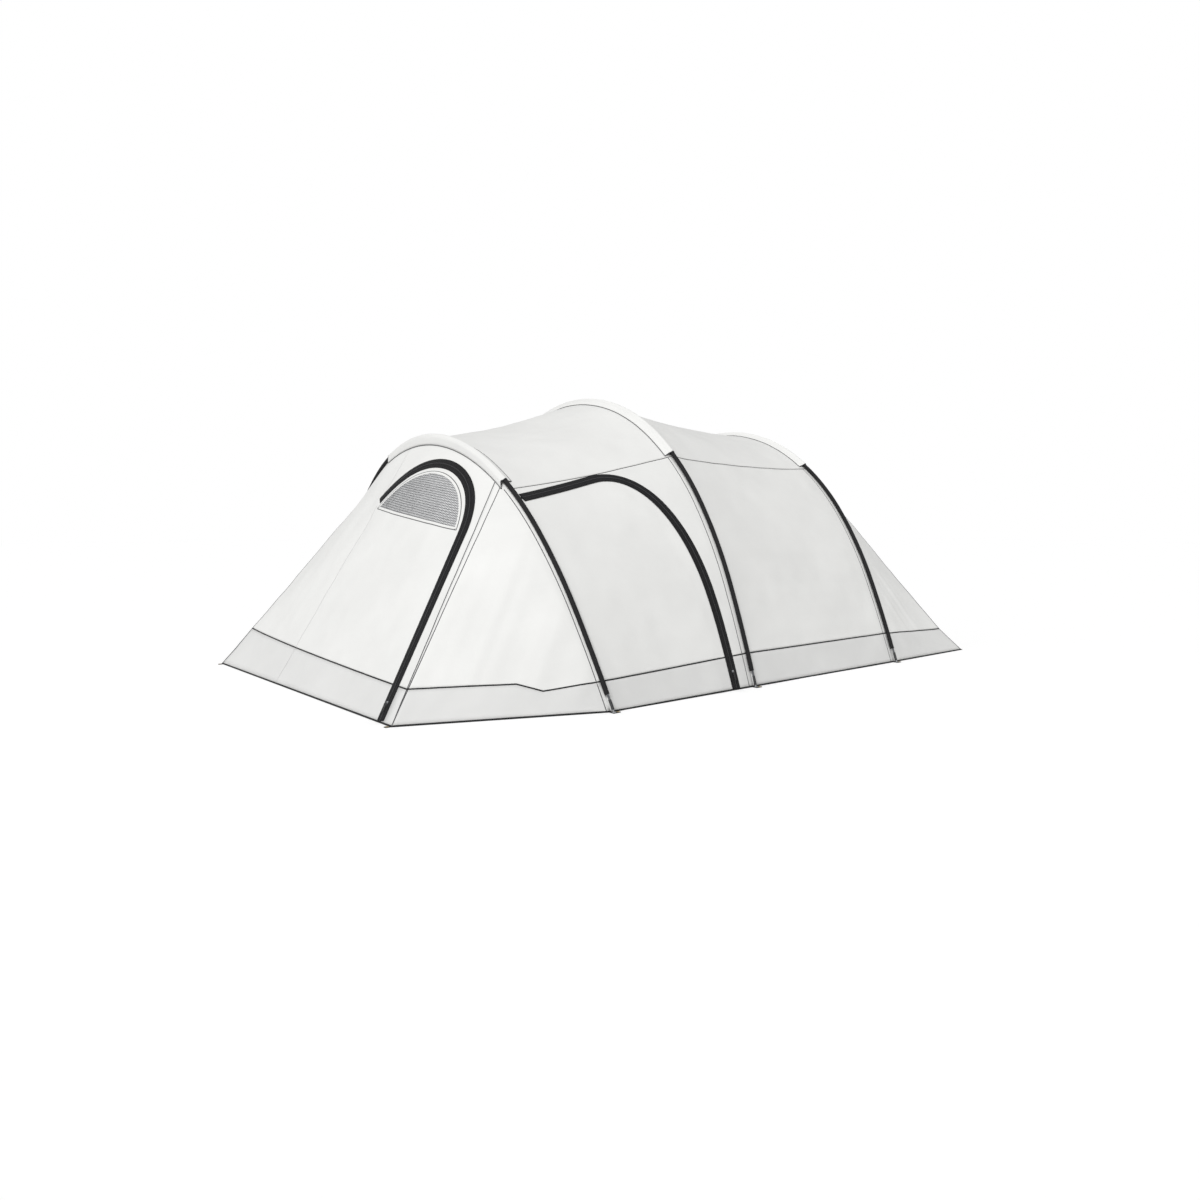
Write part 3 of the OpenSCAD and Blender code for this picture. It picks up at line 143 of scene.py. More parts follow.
low, high = (np.array(corner) for corner in cad_box)
HALF = (high[0] - low[0]) / 2
HALF_WIDE = (high[1] - low[1]) / 2
PORCH, LIVING, BEDROOM = 1.0, 1.05, 1.4
HOOP_X = np.array([PORCH - HALF, PORCH + LIVING - HALF, PORCH + LIVING + BEDROOM - HALF])
LEAN = np.radians([-4.7, 0.0, 2.8])
CROWN = np.array([1.487, high[2], 1.662])
HOOD_RISE = 0.012
POLE_END = 0.036
SECTIONS = 9
FOOT_INSET = 0.011
FOOT_HALF = HALF_WIDE - FOOT_INSET - POLE_END / 2
FERRULE_R = 0.0067
SLEEVE_R, SLEEVE_CLOTH, SLEEVE_PLAY = 0.0133, 0.0012, 0.0003
SLEEVE_CENTRE = SLEEVE_R - SLEEVE_CLOTH - SLEEVE_PLAY - FERRULE_R
FLY_GAP = 0.0006
FLY_DROP = SLEEVE_CENTRE + SLEEVE_R + FLY_GAP
HEM = 0.0046
TAB_SHOW = 0.03
HEM_X = np.array([TAB_SHOW - HALF, 0.0, HALF - TAB_SHOW])
HEM_HALF = np.array([1.25, 0.0, 1.655])
SAG = (0.030, 0.040)
REAR_FLARE = 0.050
FRONT, MIDDLE, REAR = 0, 1, 2
HOOP_NAMES = ("front", "middle", "rear")


class Hoop:
    """A bent rod pinned at both feet, built from one arc for each pole section."""

    def __init__(self, h):
        self.lean = LEAN[h]
        self.x = HOOP_X[h]
        upright = math.cos(self.lean)
        ratio = (CROWN[h] - HOOD_RISE - POLE_END) / upright / (2 * FOOT_HALF)
        low_a, high_a = math.radians(5), math.radians(110)
        for _ in range(50):
            mid = (low_a + high_a) / 2
            if self.shape(mid)[1] < ratio:
                low_a = mid
            else:
                high_a = mid
        span, _, self.angle, radii, steps = self.shape(mid)
        piece = 2 * FOOT_HALF / span
        self.radius = piece * radii
        foot = np.array([-FOOT_HALF, POLE_END / upright])
        self.start = np.vstack([foot, foot + piece * np.cumsum(steps, axis=0)])
        self.length = piece * SECTIONS
        self.axis = np.array([upright, 0.0, -math.sin(self.lean)])

    @staticmethod
    def shape(a):
        """Span, rise over span, joints' angles, radii and steps of the sections, for a foot's angle a."""
        g = a * np.cos(np.pi * np.arange(SECTIONS + 1) / SECTIONS)
        r = 1 / (g[:-1] - g[1:])
        steps = stacked(r * (np.sin(g[:-1]) - np.sin(g[1:])), r * (np.cos(g[1:]) - np.cos(g[:-1])))
        half = (SECTIONS - 1) // 2
        rise = steps[:half, 1].sum() + r[half] * (1 - math.cos(g[half]))
        span = steps[:, 0].sum()
        return span, rise / span, g, r, steps

    def at(self, t):
        """The section at t, and the rod's angle there."""
        c = np.clip(t, 0, 1)
        k = np.minimum(np.floor(c * SECTIONS).astype(int), SECTIONS - 1)
        return k, lerp(self.angle[k], self.angle[k + 1], c * SECTIONS - k)

    def point(self, t, out=0.0):
        """A point at the share t of the rod, or on straight on past its ends, and out from it."""
        t = np.asarray(t, float)
        k, a = self.at(t)
        a0 = self.angle[k]
        over = (t - np.clip(t, 0, 1)) * self.length
        y = self.start[k, 0] + self.radius[k] * (np.sin(a0) - np.sin(a)) + over * np.cos(a) - out * np.sin(a)
        z = self.start[k, 1] + self.radius[k] * (np.cos(a) - np.cos(a0)) + over * np.sin(a) + out * np.cos(a)
        return stacked(self.x + z * math.sin(self.lean), y, z * math.cos(self.lean))

    def normal(self, t):
        _, a = self.at(np.asarray(t, float))
        c = np.cos(a)
        return stacked(c * math.sin(self.lean), -np.sin(a), c * math.cos(self.lean))


hoops = [Hoop(h) for h in (FRONT, MIDDLE, REAR)]
OVERRUN = [
    (POLE_END - FLY_DROP * math.cos(hoop.angle[0]) - HEM) / (hoop.length * math.sin(hoop.angle[0]))
    for hoop in hoops
]
FLY_LENGTH = [hoop.length * (1 + 2 * o) for hoop, o in zip(hoops, OVERRUN)]


def pole_share(h, t):
    return lerp(-OVERRUN[h], 1 + OVERRUN[h], np.asarray(t, float))


def fly_edge(h, t, out=0.0):
    """The fly under a hoop."""
    return hoops[h].point(pole_share(h, t), out - FLY_DROP)


def fly_normal(h, t):
    return hoops[h].normal(pole_share(h, t))


def share(h, reach):
    """The share t of a place that is reach metres from the crown along the cloth."""
    return 0.5 - reach / FLY_LENGTH[h]


def by_hoop(values, q):
    return np.interp(q, [1, 2, 3], values)


def rise_by_share(length, h):
    """Height won by a whole share of a length that leaves the ground as the hoop does."""
    return length * math.sin(hoops[h].angle[0]) * math.cos(LEAN[h])


SEAM_SHARE = [share(FRONT, 0.985), share(MIDDLE, 1.100), share(REAR, 0.920)]
CORNER_SHARE = [share(FRONT, 0.850), 0.5, share(REAR, 0.900)]
HOOD_REACH = [(0.925, 0.500), (1.085, 1.085), (0.895, 0.895)]  # from the crown, right and left
SKIRT_HEIGHT = [0.148, 0.189, 0.190]
SKIRT_SHARE = [
    (SKIRT_HEIGHT[h] - fly_edge(h, 0.0)[2]) / rise_by_share(FLY_LENGTH[h], h) for h in range(3)
]
# Heights of the skirt's seam on the end faces, by shares of the way from the foot to the corner
REAR_RISE = ([0.1, 1], [0.190, 0.160])
RIGHT_RISE = ([0.1, 0.37, 0.51, 1], [0.148, 0.117, 0.155, 0.155])
LEFT_RISE = ([0.1, 1], [0.148, 0.235])


def round_hem(t, c, hoop_at, x, half, z):
    """A hem from a hoop's foot to its corner at t = c, across at x to the other corner and to its foot."""
    s = np.minimum(t, 1 - t)
    foot, corner = hoop_at(np.where(t < 0.5, 0.0, 1.0)), stacked(x, np.where(t < 0.5, -half, half), z)
    across = stacked(x, lerp(-half, half, (t - c) / (1 - 2 * c)), z)
    return np.where((s < c)[..., None], lerp(foot, corner, np.clip(s / c, 0, 1)[..., None]), across)


def end_hem(h, t):
    return round_hem(t, CORNER_SHARE[h], lambda end: fly_edge(h, end), HEM_X[h], HEM_HALF[h], HEM)


def end_skirt_height(h, t):
    c = CORNER_SHARE[h]
    s = np.minimum(t, 1 - t) / c
    if h == REAR:
        return np.interp(s, *REAR_RISE)
    middle = lerp(RIGHT_RISE[1][-1], LEFT_RISE[1][-1], (t - c) / (1 - 2 * c))
    return np.where(t < c, np.interp(s, *RIGHT_RISE), np.where(s < 1, np.interp(s, *LEFT_RISE), middle))


def skirt_top(h, t):
    """The skirt's seam on an end face, as a share of the way up from the hem to the hoop."""
    low_z, high_z = end_hem(h, t)[..., 2], fly_edge(h, t)[..., 2]
    return np.minimum(1, (end_skirt_height(h, t) - low_z) / np.maximum(high_z - low_z, 1e-9))


def end_face(h, v, t):
    foot = end_hem(h, t)
    p = lerp(foot, fly_edge(h, t), v[..., None])
    if h == REAR:
        flare = -REAR_FLARE * (foot[..., 0] - HOOP_X[h]) / (HEM_X[h] - HOOP_X[h])
        peak = skirt_top(h, t)
        p[..., 0] += flare * np.where(v <= peak, v / peak, (1 - v) / (1 - peak + 1e-9))
    return p


def bay(h, u, t):
    """The fly between two hoops, with its sag."""
    out = unit(lerp(fly_normal(h, t), fly_normal(h + 1, t), u[..., None]))
    sag = SAG[h] * 4 * u * (1 - u) * np.sin(np.pi * t)
    return lerp(fly_edge(h, t), fly_edge(h + 1, t), u[..., None]) - out * sag[..., None]


def as_places(q, t):
    return np.broadcast_arrays(np.asarray(q, float), np.asarray(t, float))


def fly(q, t):
    q, t = as_places(q, t)
    out = np.empty(q.shape + (3,))
    for mask, part in (
        (q <= 1, lambda a, b: end_face(FRONT, a, b)),
        ((q > 1) & (q <= 2), lambda a, b: bay(0, a - 1, b)),
        ((q > 2) & (q < 3), lambda a, b: bay(1, a - 2, b)),
        (q >= 3, lambda a, b: end_face(REAR, 4 - a, b)),
    ):
        if mask.any():
            out[mask] = part(q[mask], t[mask])
    return out


NUDGE = 0.002


def fly_out(q, t):
    """Outward normal of the fly, taken inside the panel that q lies in."""
    q, t = as_places(q, t)
    dq = np.where(q - np.clip(np.floor(q), 0, 3) < 0.5, NUDGE, -NUDGE)
    p = fly(q, t)
    n = np.cross(fly(q + dq, t) - p, fly(q, t + NUDGE) - p)
    away = np.sum(n * (p - np.array([HOOP_X[MIDDLE], 0, 0])), -1, keepdims=True)
    return unit(np.where(away > 0, n, -n))


# ---- the zips' lines

c_front, c_rear = CORNER_SHARE[FRONT], CORNER_SHARE[REAR]


def front_share_at(y):
    """The share t of a place on the front hem, between its corners."""
    return lerp(c_front, 1 - c_front, (y + HEM_HALF[FRONT]) / (2 * HEM_HALF[FRONT]))


ZIP_SHARE = front_share_at(-1.130)
FOLD_SHARE = front_share_at(0.265)
ZIP_START = 0.003
SETBACK = 0.009  # from a zip's middle to the edge of the cloth
SET_SHARE = SETBACK / FLY_LENGTH[FRONT]
ARCH_R, ARCH_TOP = 0.600, 1.290


def yz(p):
    return p[..., 1:]


# The front zip goes up a leg of the front face, then round an arch whose circle touches the leg.
zip_low = yz(end_hem(FRONT, np.array(ZIP_SHARE)))
zip_high = yz(fly_edge(FRONT, ZIP_SHARE))
slant = (zip_high[0] - zip_low[0]) / (zip_high[1] - zip_low[1])
ARCH_C = np.array([
    zip_low[0] + slant * (ARCH_TOP - ARCH_R - zip_low[1]) + ARCH_R * math.sqrt(1 + slant * slant),
    ARCH_TOP - ARCH_R,
])


def arch_v(t, r):
    """How far up the front face the circle of radius r about the arch's centre lies at t."""
    t = np.asarray(t, float)
    a = yz(end_hem(FRONT, t))
    d = yz(fly_edge(FRONT, t)) - a
    m = a - ARCH_C
    along, dd, mm = (m * d).sum(-1), (d * d).sum(-1), (m * m).sum(-1)
    return (-along + np.sqrt(np.maximum(0, along * along - dd * (mm - r * r)))) / dd


def eased(a, b, count):
    """Steps from a to b that are finest at a."""
    return lerp(a, b, np.linspace(0, 1, count) ** 2)


def arch_line(leg_t, low_v, r, end_t, leg_count, arc_count):
    """Places up the front face's leg at leg_t from low_v, then round the arch of radius r to end_t."""
    t = eased(leg_t, end_t, arc_count)[1:]
    leg_v = np.linspace(low_v, float(arch_v(leg_t, r)), leg_count)
    return np.append(leg_v, arch_v(t, r)), np.append(np.full(leg_count, leg_t), t)


# The side zip goes up a leg near the middle hoop, round a squarish corner and forward along the top.
SIDE_REACH, SIDE_STRAIGHT, SIDE_ZIP_END = 0.908, 0.470, 0.030
SIDE_TOP = [share(h, 1.072) for h in range(3)]
SIDE_BEND = [0.300 / FLY_LENGTH[h] for h in range(3)]
SQUARE = 2 / 2.3
SIDE_ZIP_LIFT = 0.0012


def side_q(x):
    return 1 + np.asarray(x, float) / LIVING


def side_corner(a, offset):
    q = side_q(lerp(SIDE_STRAIGHT, SIDE_REACH + offset, np.cos(a) ** SQUARE))
    top = by_hoop(SIDE_TOP, q) + offset / FLY_LENGTH[FRONT]
    return q, lerp(by_hoop(SIDE_BEND, q), top, np.sin(a) ** SQUARE)


def side_line(offset, low_t, end_x, counts=(40, 60, 50)):
    """The side zip's line from low_t up, round its corner and along to end_x behind the front hoop."""
    leg_q = float(side_q(SIDE_REACH + offset))
    leg_t = np.linspace(low_t, float(by_hoop(SIDE_BEND, leg_q)), counts[0])
    corner_q, corner_t = side_corner(np.linspace(0, np.pi / 2, counts[1] + 2)[1:-1], offset)
    top_q = side_q(np.linspace(SIDE_STRAIGHT, end_x, counts[2]))
    top_t = by_hoop(SIDE_TOP, top_q) + offset / FLY_LENGTH[FRONT]
    q = np.concatenate([np.full(counts[0], leg_q), corner_q, top_q])
    return q, np.concatenate([leg_t, corner_t, top_t])


leg_top = float(arch_v(ZIP_SHARE, ARCH_R))
leg_long = float(np.linalg.norm(fly(leg_top, ZIP_SHARE) - fly(0.0, ZIP_SHARE)))
front_zip_at = arch_line(ZIP_SHARE, ZIP_START / leg_long * leg_top, ARCH_R, FOLD_SHARE - SET_SHARE, 80, 150)
front_p, front_n = fly(*front_zip_at), fly_out(*front_zip_at)
side_zip_at = side_line(0.0, ZIP_START / FLY_LENGTH[FRONT], SIDE_ZIP_END, (40, 110, 60))
side_n = fly_out(*side_zip_at)
side_p = fly(*side_zip_at) + side_n * SIDE_ZIP_LIFT

zip_tree = KDTree(len(front_p) + len(side_p))
for k, at in enumerate(np.vstack([front_p, side_p])):
    zip_tree.insert(at, k)
zip_tree.balance()


# How far the cloth lies still from a zip or a toggle, and over how much more it comes to fold freely
STILL_BY_ZIPS, STILL_BY_TOGGLES = (0.034, 0.09), (0.012, 0.1)


def may_fold(near, still, grow):
    return smooth((near - still) / grow)


def away_from_zips(p):
    """0 at a zip's tapes and 1 clear of them, where the cloth may fold."""
    flat = p.reshape(-1, 3)
    near = np.full(len(flat), 1.0)
    for k in np.where((flat[:, 0] < HOOP_X[MIDDLE] + 0.1) & (flat[:, 1] < 0.5))[0]:
        near[k] = zip_tree.find(flat[k])[2]
    return may_fold(near, *STILL_BY_ZIPS).reshape(p.shape[:-1])


def toggle_places():
    """Where the bedroom's toggles hang: rows of five, an eighth of the bay from its hoops."""
    for q in (2 + 1 / 8, 3 - 1 / 8):
        low_t = by_hoop(SEAM_SHARE, q)
        for i in range(5):
            yield fly(q, lerp(low_t, 1 - low_t, round(lerp(1, 13, i / 4)) / 14))


toggles_at = np.array(list(toggle_places()))


def away_from_toggles(p):
    near = np.min([np.linalg.norm(p - at, axis=-1) for at in toggles_at], axis=0)
    return may_fold(near, *STILL_BY_TOGGLES)


# ---- cloth unevenness
# Heights and spacings in metres. The folds lie across the panels, the tucks along their sewn ends.

CELLS = 32
NOISE = np.random.RandomState(7).uniform(-1, 1, (CELLS,) * 3)
FLY_ROUND = 4.8  # length round a hoop, for the folds' spacing
FOLDS = ((0.0064, 0.17), (0.0034, 0.07))
TUCK, TUCK_SPACING = 0.0014, 0.022
SOFT = ((0.0070, 0.36), (0.0024, 0.10))
TUCK_START, TUCK_FADE, SOFT_START = 0.01, 0.05, 0.12  # as shares of a panel's width


def noise3(p, scale):
    """Smooth noise from -1 to 1 in space, with cells of the size scale."""
    g = np.asarray(p) / scale
    cell = np.floor(g).astype(int)
    f = smooth(g - cell)
    total = 0.0
    for step in np.ndindex(2, 2, 2):
        w = np.prod(np.where(step, f, 1 - f), axis=-1)
        total = total + w * NOISE[tuple(np.moveaxis((cell + step) % CELLS, -1, 0))]
    return total


def noise1(x, row):
    return noise3(stacked(x, row + 0.5, 0.5), 1.0)


def ripple(q, t, p):
    """Height of folds and unevenness over the fly, the same on both sides of every seam."""
    u = np.where(q >= 4, 1.0, q - np.floor(q))
    along = t * FLY_ROUND
    end = np.minimum(u, 1 - u)
    row = np.floor(np.clip(q, 0, 3.999)) * 3
    folds = sum(rise * noise1(along / gap, row + k) for k, (rise, gap) in enumerate(FOLDS))
    tucks = TUCK * noise1(along / TUCK_SPACING, row + 2) * np.exp(-end / TUCK_FADE)
    tucks = tucks * np.minimum(end / TUCK_START, 1)
    soft = sum(rise * noise3(p, size) for rise, size in SOFT) * smooth(end / SOFT_START)
    return (folds * np.sin(np.pi * u) ** 0.7 + tucks + soft) * away_from_zips(p) * away_from_toggles(p)


# ---- materials


def shade(color, k):
    return tuple(min(1.0, c * k) for c in color)


class Shader:
    """A material with its nodes, whose inputs are constants or the outputs of other nodes."""

    def __init__(self, name, color, rough, **sockets):
        self.material = bpy.data.materials.new(name)
        self.material.use_nodes = True
        self.tree = self.material.node_tree
        self.color = color
        self.surface = self.tree.nodes["Principled BSDF"].inputs
        self.surface["Base Color"].default_value = (*color, 1)
        self.surface["Roughness"].default_value = rough
        for key, value in sockets.items():
            self.surface[key.replace("_", " ")].default_value = value

    def plug(self, socket, value):
        if isinstance(value, bpy.types.NodeSocket):
            self.tree.links.new(value, socket)
        else:
            socket.default_value = value

    def node(self, kind, output=0, **sockets):
        n = self.tree.nodes.new("ShaderNode" + kind)
        for key, value in sockets.items():
            self.plug(n.inputs[key], value)
        return n.outputs[output]

    def math(self, op, *values):
        n = self.tree.nodes.new("ShaderNodeMath")
        n.operation = op
        for socket, value in zip(n.inputs, values):
            self.plug(socket, value)
        return n.outputs[0]

    def uv(self):
        """The flat coordinates in metres, and their two parts."""
        source = self.node("TexCoord", "UV")
        return source, self.node("SeparateXYZ", 0, Vector=source), self.node("SeparateXYZ", 1, Vector=source)

    def wave(self, value, pitch):
        """A cosine from -1 to 1 along value, one turn each pitch."""
        return self.math("COSINE", self.math("MULTIPLY", value, 2 * math.pi / pitch))

    def noise(self, source, scale, detail=3.0, rough=0.55):
        return self.node("TexNoise", "Fac", Vector=source, Scale=scale, Detail=detail, Roughness=rough)

    def tint(self, fac, low_at, low_shade, high_at, high_shade):
        """Colours the surface from one shade of its colour at low_at to another at high_at."""
        n = self.tree.nodes.new("ShaderNodeValToRGB")
        self.tree.links.new(fac, n.inputs[0])
        for element, at, k in zip(n.color_ramp.elements, (low_at, high_at), (low_shade, high_shade)):
            element.position = at
            element.color = (*shade(self.color, k), 1)
        self.plug(self.surface["Base Color"], n.outputs[0])

    def bump(self, height, strength, distance):
        bumped = self.node("Bump", Height=height, Strength=strength, Distance=distance)
        self.plug(self.surface["Normal"], bumped)

    def wear(self, fac, amount, least):
        """Makes the surface rougher by amount where fac is high."""
        self.plug(self.surface["Roughness"], self.math("MULTIPLY_ADD", fac, amount, least))


def cloth_material(name, color, rough, pitch, grid=0.0, spread=0.05, depth=0.0003, sheen=0.2):
    """Plain weave with a slightly uneven colour, a soft sheen and, where grid is set, ripstop threads."""
    m = Shader(name, color, rough, Sheen_Weight=sheen, Sheen_Roughness=0.4, Specular_IOR_Level=0.35)
    source, u, v = m.uv()
    height = m.math("MULTIPLY", m.math("MULTIPLY", m.wave(u, pitch), m.wave(v, pitch)), 0.25)
    for axis in (u, v) if grid else ():
        thread = m.math("POWER", m.math("MULTIPLY_ADD", m.wave(axis, grid), 0.5, 0.5), 24)
        height = m.math("MULTIPLY_ADD", thread, 0.6, height)
    crumple = m.noise(source, 26.0, 5.0, 0.6)
    m.bump(m.math("MULTIPLY_ADD", crumple, 1.6, height), 0.55, depth)
    m.tint(m.noise(source, 2.2, 4.0), 0.25, 1 - spread, 0.75, 1 + spread * 0.4)
    m.wear(crumple, 0.14, rough - 0.07)
    return m.material


def webbing_material(name, color, pitch):
    """Ribbed webbing with a chevron weave, u along the strap and v across it."""
    m = Shader(name, color, 0.85, Sheen_Weight=0.05, Specular_IOR_Level=0.25)
    source, u, v = m.uv()
    zigzag = m.math("ADD", u, m.math("PINGPONG", v, 0.012))
    m.bump(m.math("ADD", m.wave(u, pitch), m.wave(zigzag, pitch * 1.7)), 0.6, 0.0003)
    m.tint(m.noise(source, 60.0), 0.3, 0.75, 0.75, 1.5)
    return m.material


def solid_material(name, color, rough, scale, metal=0.0, streak=(1.0, 1.0, 1.0), spread=0.15, **more):
    """Metal or plastic with fine drawn or moulded texture, stretched by streak."""
    m = Shader(name, color, rough, Metallic=metal, **more)
    stretched = m.node("Mapping", Vector=m.node("TexCoord", "Object"), Scale=streak)
    grain = m.noise(stretched, scale, 4.0)
    m.tint(grain, 0.3, 1 - spread, 0.7, 1 + spread)
    m.bump(grain, 0.4, 0.0001)
    m.wear(grain, 0.2, max(0.02, rough - 0.1))
    return m.material


WHITE = (0.80, 0.80, 0.785)
SKIRT = (0.72, 0.72, 0.71)
MATS = {
    "fly": cloth_material("fly_cloth", WHITE, 0.52, 0.0012, grid=0.008),
    "skirt": cloth_material("skirt_cloth", SKIRT, 0.6, 0.0012, grid=0.006, spread=0.07),
    "hood": cloth_material("hood_cloth", shade(WHITE, 1.01), 0.5, 0.0012, grid=0.008),
    "inner": cloth_material("inner_cloth", (0.74, 0.745, 0.74), 0.7, 0.0010, spread=0.04, depth=0.0002),
    "ground": cloth_material(
        "groundsheet", (0.30, 0.32, 0.34), 0.45, 0.0028, spread=0.12, depth=0.0004, sheen=0.05
    ),
    "sleeve": cloth_material("sleeve_cloth", (0.010, 0.010, 0.011), 0.8, 0.0014, spread=0.3, sheen=0.06),
    "piping": cloth_material("seam_piping", (0.014, 0.014, 0.015), 0.8, 0.0010, spread=0.3, sheen=0.05),
    "seam": cloth_material("seam_thread", (0.10, 0.10, 0.105), 0.8, 0.0009, spread=0.2, sheen=0.05),
    "netting": cloth_material("netting", (0.72, 0.725, 0.73), 0.8, 0.0016, spread=0.1, sheen=0.3),
    "strand": cloth_material("net_strand", (0.07, 0.07, 0.075), 0.8, 0.0010, spread=0.2, sheen=0.05),
    "cord": cloth_material("cord_braid", (0.03, 0.03, 0.03), 0.8, 0.0016, spread=0.3, sheen=0.3),
    "tape": webbing_material("zip_tape", (0.008, 0.008, 0.009), 0.0016),
    "webbing": webbing_material("strap_webbing", (0.020, 0.020, 0.022), 0.0022),
    "coil": solid_material("zip_coil", (0.045, 0.045, 0.048), 0.35, 300.0, Coat_Weight=0.1),
    "pole": solid_material(
        "pole_fibreglass", (0.075, 0.080, 0.088), 0.3, 160.0, streak=(1, 1, 6),
        Coat_Weight=0.5, Coat_Roughness=0.1,
    ),
    "steel": solid_material("steel", (0.55, 0.56, 0.58), 0.32, 200.0, 1.0, (1, 8, 1), spread=0.1),
    "brass": solid_material("eyelet_brass", (0.62, 0.50, 0.27), 0.35, 400.0, 1.0, spread=0.12),
    "nylon": solid_material("moulded_nylon", (0.03, 0.03, 0.032), 0.5, 500.0, spread=0.2),
    "puller": solid_material("zip_puller", (0.02, 0.02, 0.022), 0.4, 400.0, Coat_Weight=0.2),
}

# ---- meshes


def mesh_object(name, points, faces, mat, uv=None, rounded=True):
    mesh = bpy.data.meshes.new(name)
    mesh.from_pydata([tuple(p) for p in points], [], faces)
    if uv is not None:
        layer = mesh.uv_layers.new(name="flat")
        loops = np.empty(len(mesh.loops), int)
        mesh.loops.foreach_get("vertex_index", loops)
        layer.data.foreach_set("uv", np.asarray(uv, float)[loops].ravel())
    mesh.materials.append(mat)
    mesh.polygons.foreach_set("use_smooth", [rounded] * len(mesh.polygons))
    mesh.update()
    return add_object(name, mesh)


def finish_piece(obj, slot, bend=None, replaced=()):
    """Rides a piece on the tent, or, when bend is given, fixes it in place without bending it, and hides the
    CAD nodes that it replaces.
    """
    if bend:
        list(bend)
        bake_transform(obj)
    else:
        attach(obj, "tent")
    if replaced:
        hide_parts(*replaced)


def grid_faces(rows, cols, first=0, flip=False, wrap=False):
    i, j = np.meshgrid(np.arange(rows - 1), np.arange(cols if wrap else cols - 1), indexing="ij")
    k = (j + 1) % cols
    quads = np.stack([i * cols + j, i * cols + k, (i + 1) * cols + k, (i + 1) * cols + j], -1)
    quads = quads.reshape(-1, 4) + first
    return (quads[:, ::-1] if flip else quads).tolist()


def flat_size(p):
    """Sides of the smallest rectangle round a grid, unrolled cell by cell between its end rows."""
    a, b = p[0], p[-1]
    flat_a, flat_b = [np.zeros(2)], [np.array([np.linalg.norm(b[0] - a[0]), 0.0])]

    def place(u, v, ru, rv):
        """The point at ru from u and rv from v, on the strip's onward side."""
        d = np.linalg.norm(v - u)
        if d < 1e-9:
            return u + np.array([0.0, ru])
        x = (ru * ru - rv * rv + d * d) / (2 * d)
        e = (v - u) / d
        return u + e * x + np.array([-e[1], e[0]]) * math.sqrt(max(0.0, ru * ru - x * x))

    def gap(v, w):
        return np.linalg.norm(v - w)

    for k in range(1, len(a)):
        flat_a.append(place(flat_a[-1], flat_b[-1], gap(a[k], a[k - 1]), gap(a[k], b[k - 1])))
        flat_b.append(place(flat_a[-1], flat_b[-1], gap(b[k], a[k]), gap(b[k], b[k - 1])))
    outline = np.vstack([flat_a, flat_b])
    spans = []
    for angle in np.radians(np.arange(0, 90, 1.0)):
        c, s = math.cos(angle), math.sin(angle)
        spans.append(np.ptp(outline @ np.array([[c, -s], [s, c]]), axis=0))
    best = min(spans, key=np.prod)
    return float(min(best)), float(max(best))


def grid_part(p, n):
    """Points, faces and flat coordinates in metres of a grid, facing the way of its normals."""
    rows, cols = p.shape[:2]
    i, j = min(rows // 2, rows - 2), min(cols // 2, cols - 2)
    turn = np.cross(p[i, j + 1] - p[i, j], p[i + 1, j] - p[i, j])
    faces = grid_faces(rows, cols, flip=float(turn @ n[i, j]) < 0)
    return p.reshape(-1, 3), faces, stacked(lengths(p, 1), lengths(p, 0)).reshape(-1, 2)


def gather(parts):
    """Joins parts of (points, faces, flat coordinates)."""
    points, faces, uv, first = [], [], [], 0
    for p, f, u in parts:
        points.append(p)
        uv.append(u)
        faces += [[k + first for k in face] for face in f]
        first += len(p)
    return np.vstack(points), faces, np.vstack(uv)


THICK, THIN_CLOTH, NET_CLOTH = 0.0008, 0.0006, 0.0004
STRIP_FILL = 0.31  # share of its flat rectangle below which a piece counts as a long bent strip
SLOTS = {
    "fly": "fly_cloth", "hood": "fly_cloth", "skirt": "skirt_cloth", "inner": "inner_cloth",
    "netting": "mesh", "ground": "groundsheet",
}


def cloth_piece(
    name, replaced, grids, mat="fly", bend=None, thick=THICK, drop=None, flat=None
):
    """A sheet of cloth over grids of (points, normals); the flat size it was cut to is worked out but goes
    nowhere.

    It stands for the CAD node replaced, and has no faces at the points where drop is true."""
    points, faces, uv = gather([grid_part(p, n) for p, n in grids])
    if drop is not None:
        keep = ~drop(points)
        used, faces = np.unique([f for f in faces if keep[f].all()], return_inverse=True)
        points, uv, faces = points[used], uv[used], faces.reshape(-1, 4).tolist()
    obj = mesh_object(name, points, faces, MATS[mat], uv)
    bpy.context.view_layer.objects.active = obj
    thickness = obj.modifiers.new("thickness", "SOLIDIFY")
    thickness.thickness = thick
    thickness.offset = -1.0
    thickness.use_even_offset = False
    a, b, c, d = (points[corner] for corner in np.array(faces).T)
    area = float(np.linalg.norm(np.cross(c - a, d - b), axis=-1).sum() / 2)
    if flat is None:
        sizes = [flat_size(p) for p, _ in grids]
        flat = (max(w for w, _ in sizes), sum(l for _, l in sizes))
    if area < STRIP_FILL * flat[0] * flat[1]:
        # The width that holds nine tenths of the strip, and its length along its middle
        strip = max((p for p, _ in grids), key=np.size)
        width = float(np.quantile(lengths(strip, 0)[-1], 0.9))
        flat = (width, float(lengths(strip[len(strip) // 2], 0)[-1]))
    flat = (max(flat[0], area / flat[1]), flat[1])
    finish_piece(obj, SLOTS[mat], bend, [replaced])


def fly_grid(q, t, lift=0.0):
    """Points and normals of the fly at the places (q, t), with its folds."""
    q, t = as_places(q, t)
    p, n = fly(q, t), fly_out(q, t)
    return p + n * (lift + ripple(q, t, p))[..., None], n


def between(inner, outer, rows):
    """A grid of the fly from one line of places to another."""
    return fly_grid(*(lerp(a, b, even(rows)) for a, b in zip(inner, outer)))


def frames_along(p, n):
    """Direction, side and outward direction at each point of a path."""
    d = unit(np.gradient(p, axis=0))
    side = unit(np.cross(n, d))
    return d, side, np.cross(d, side)


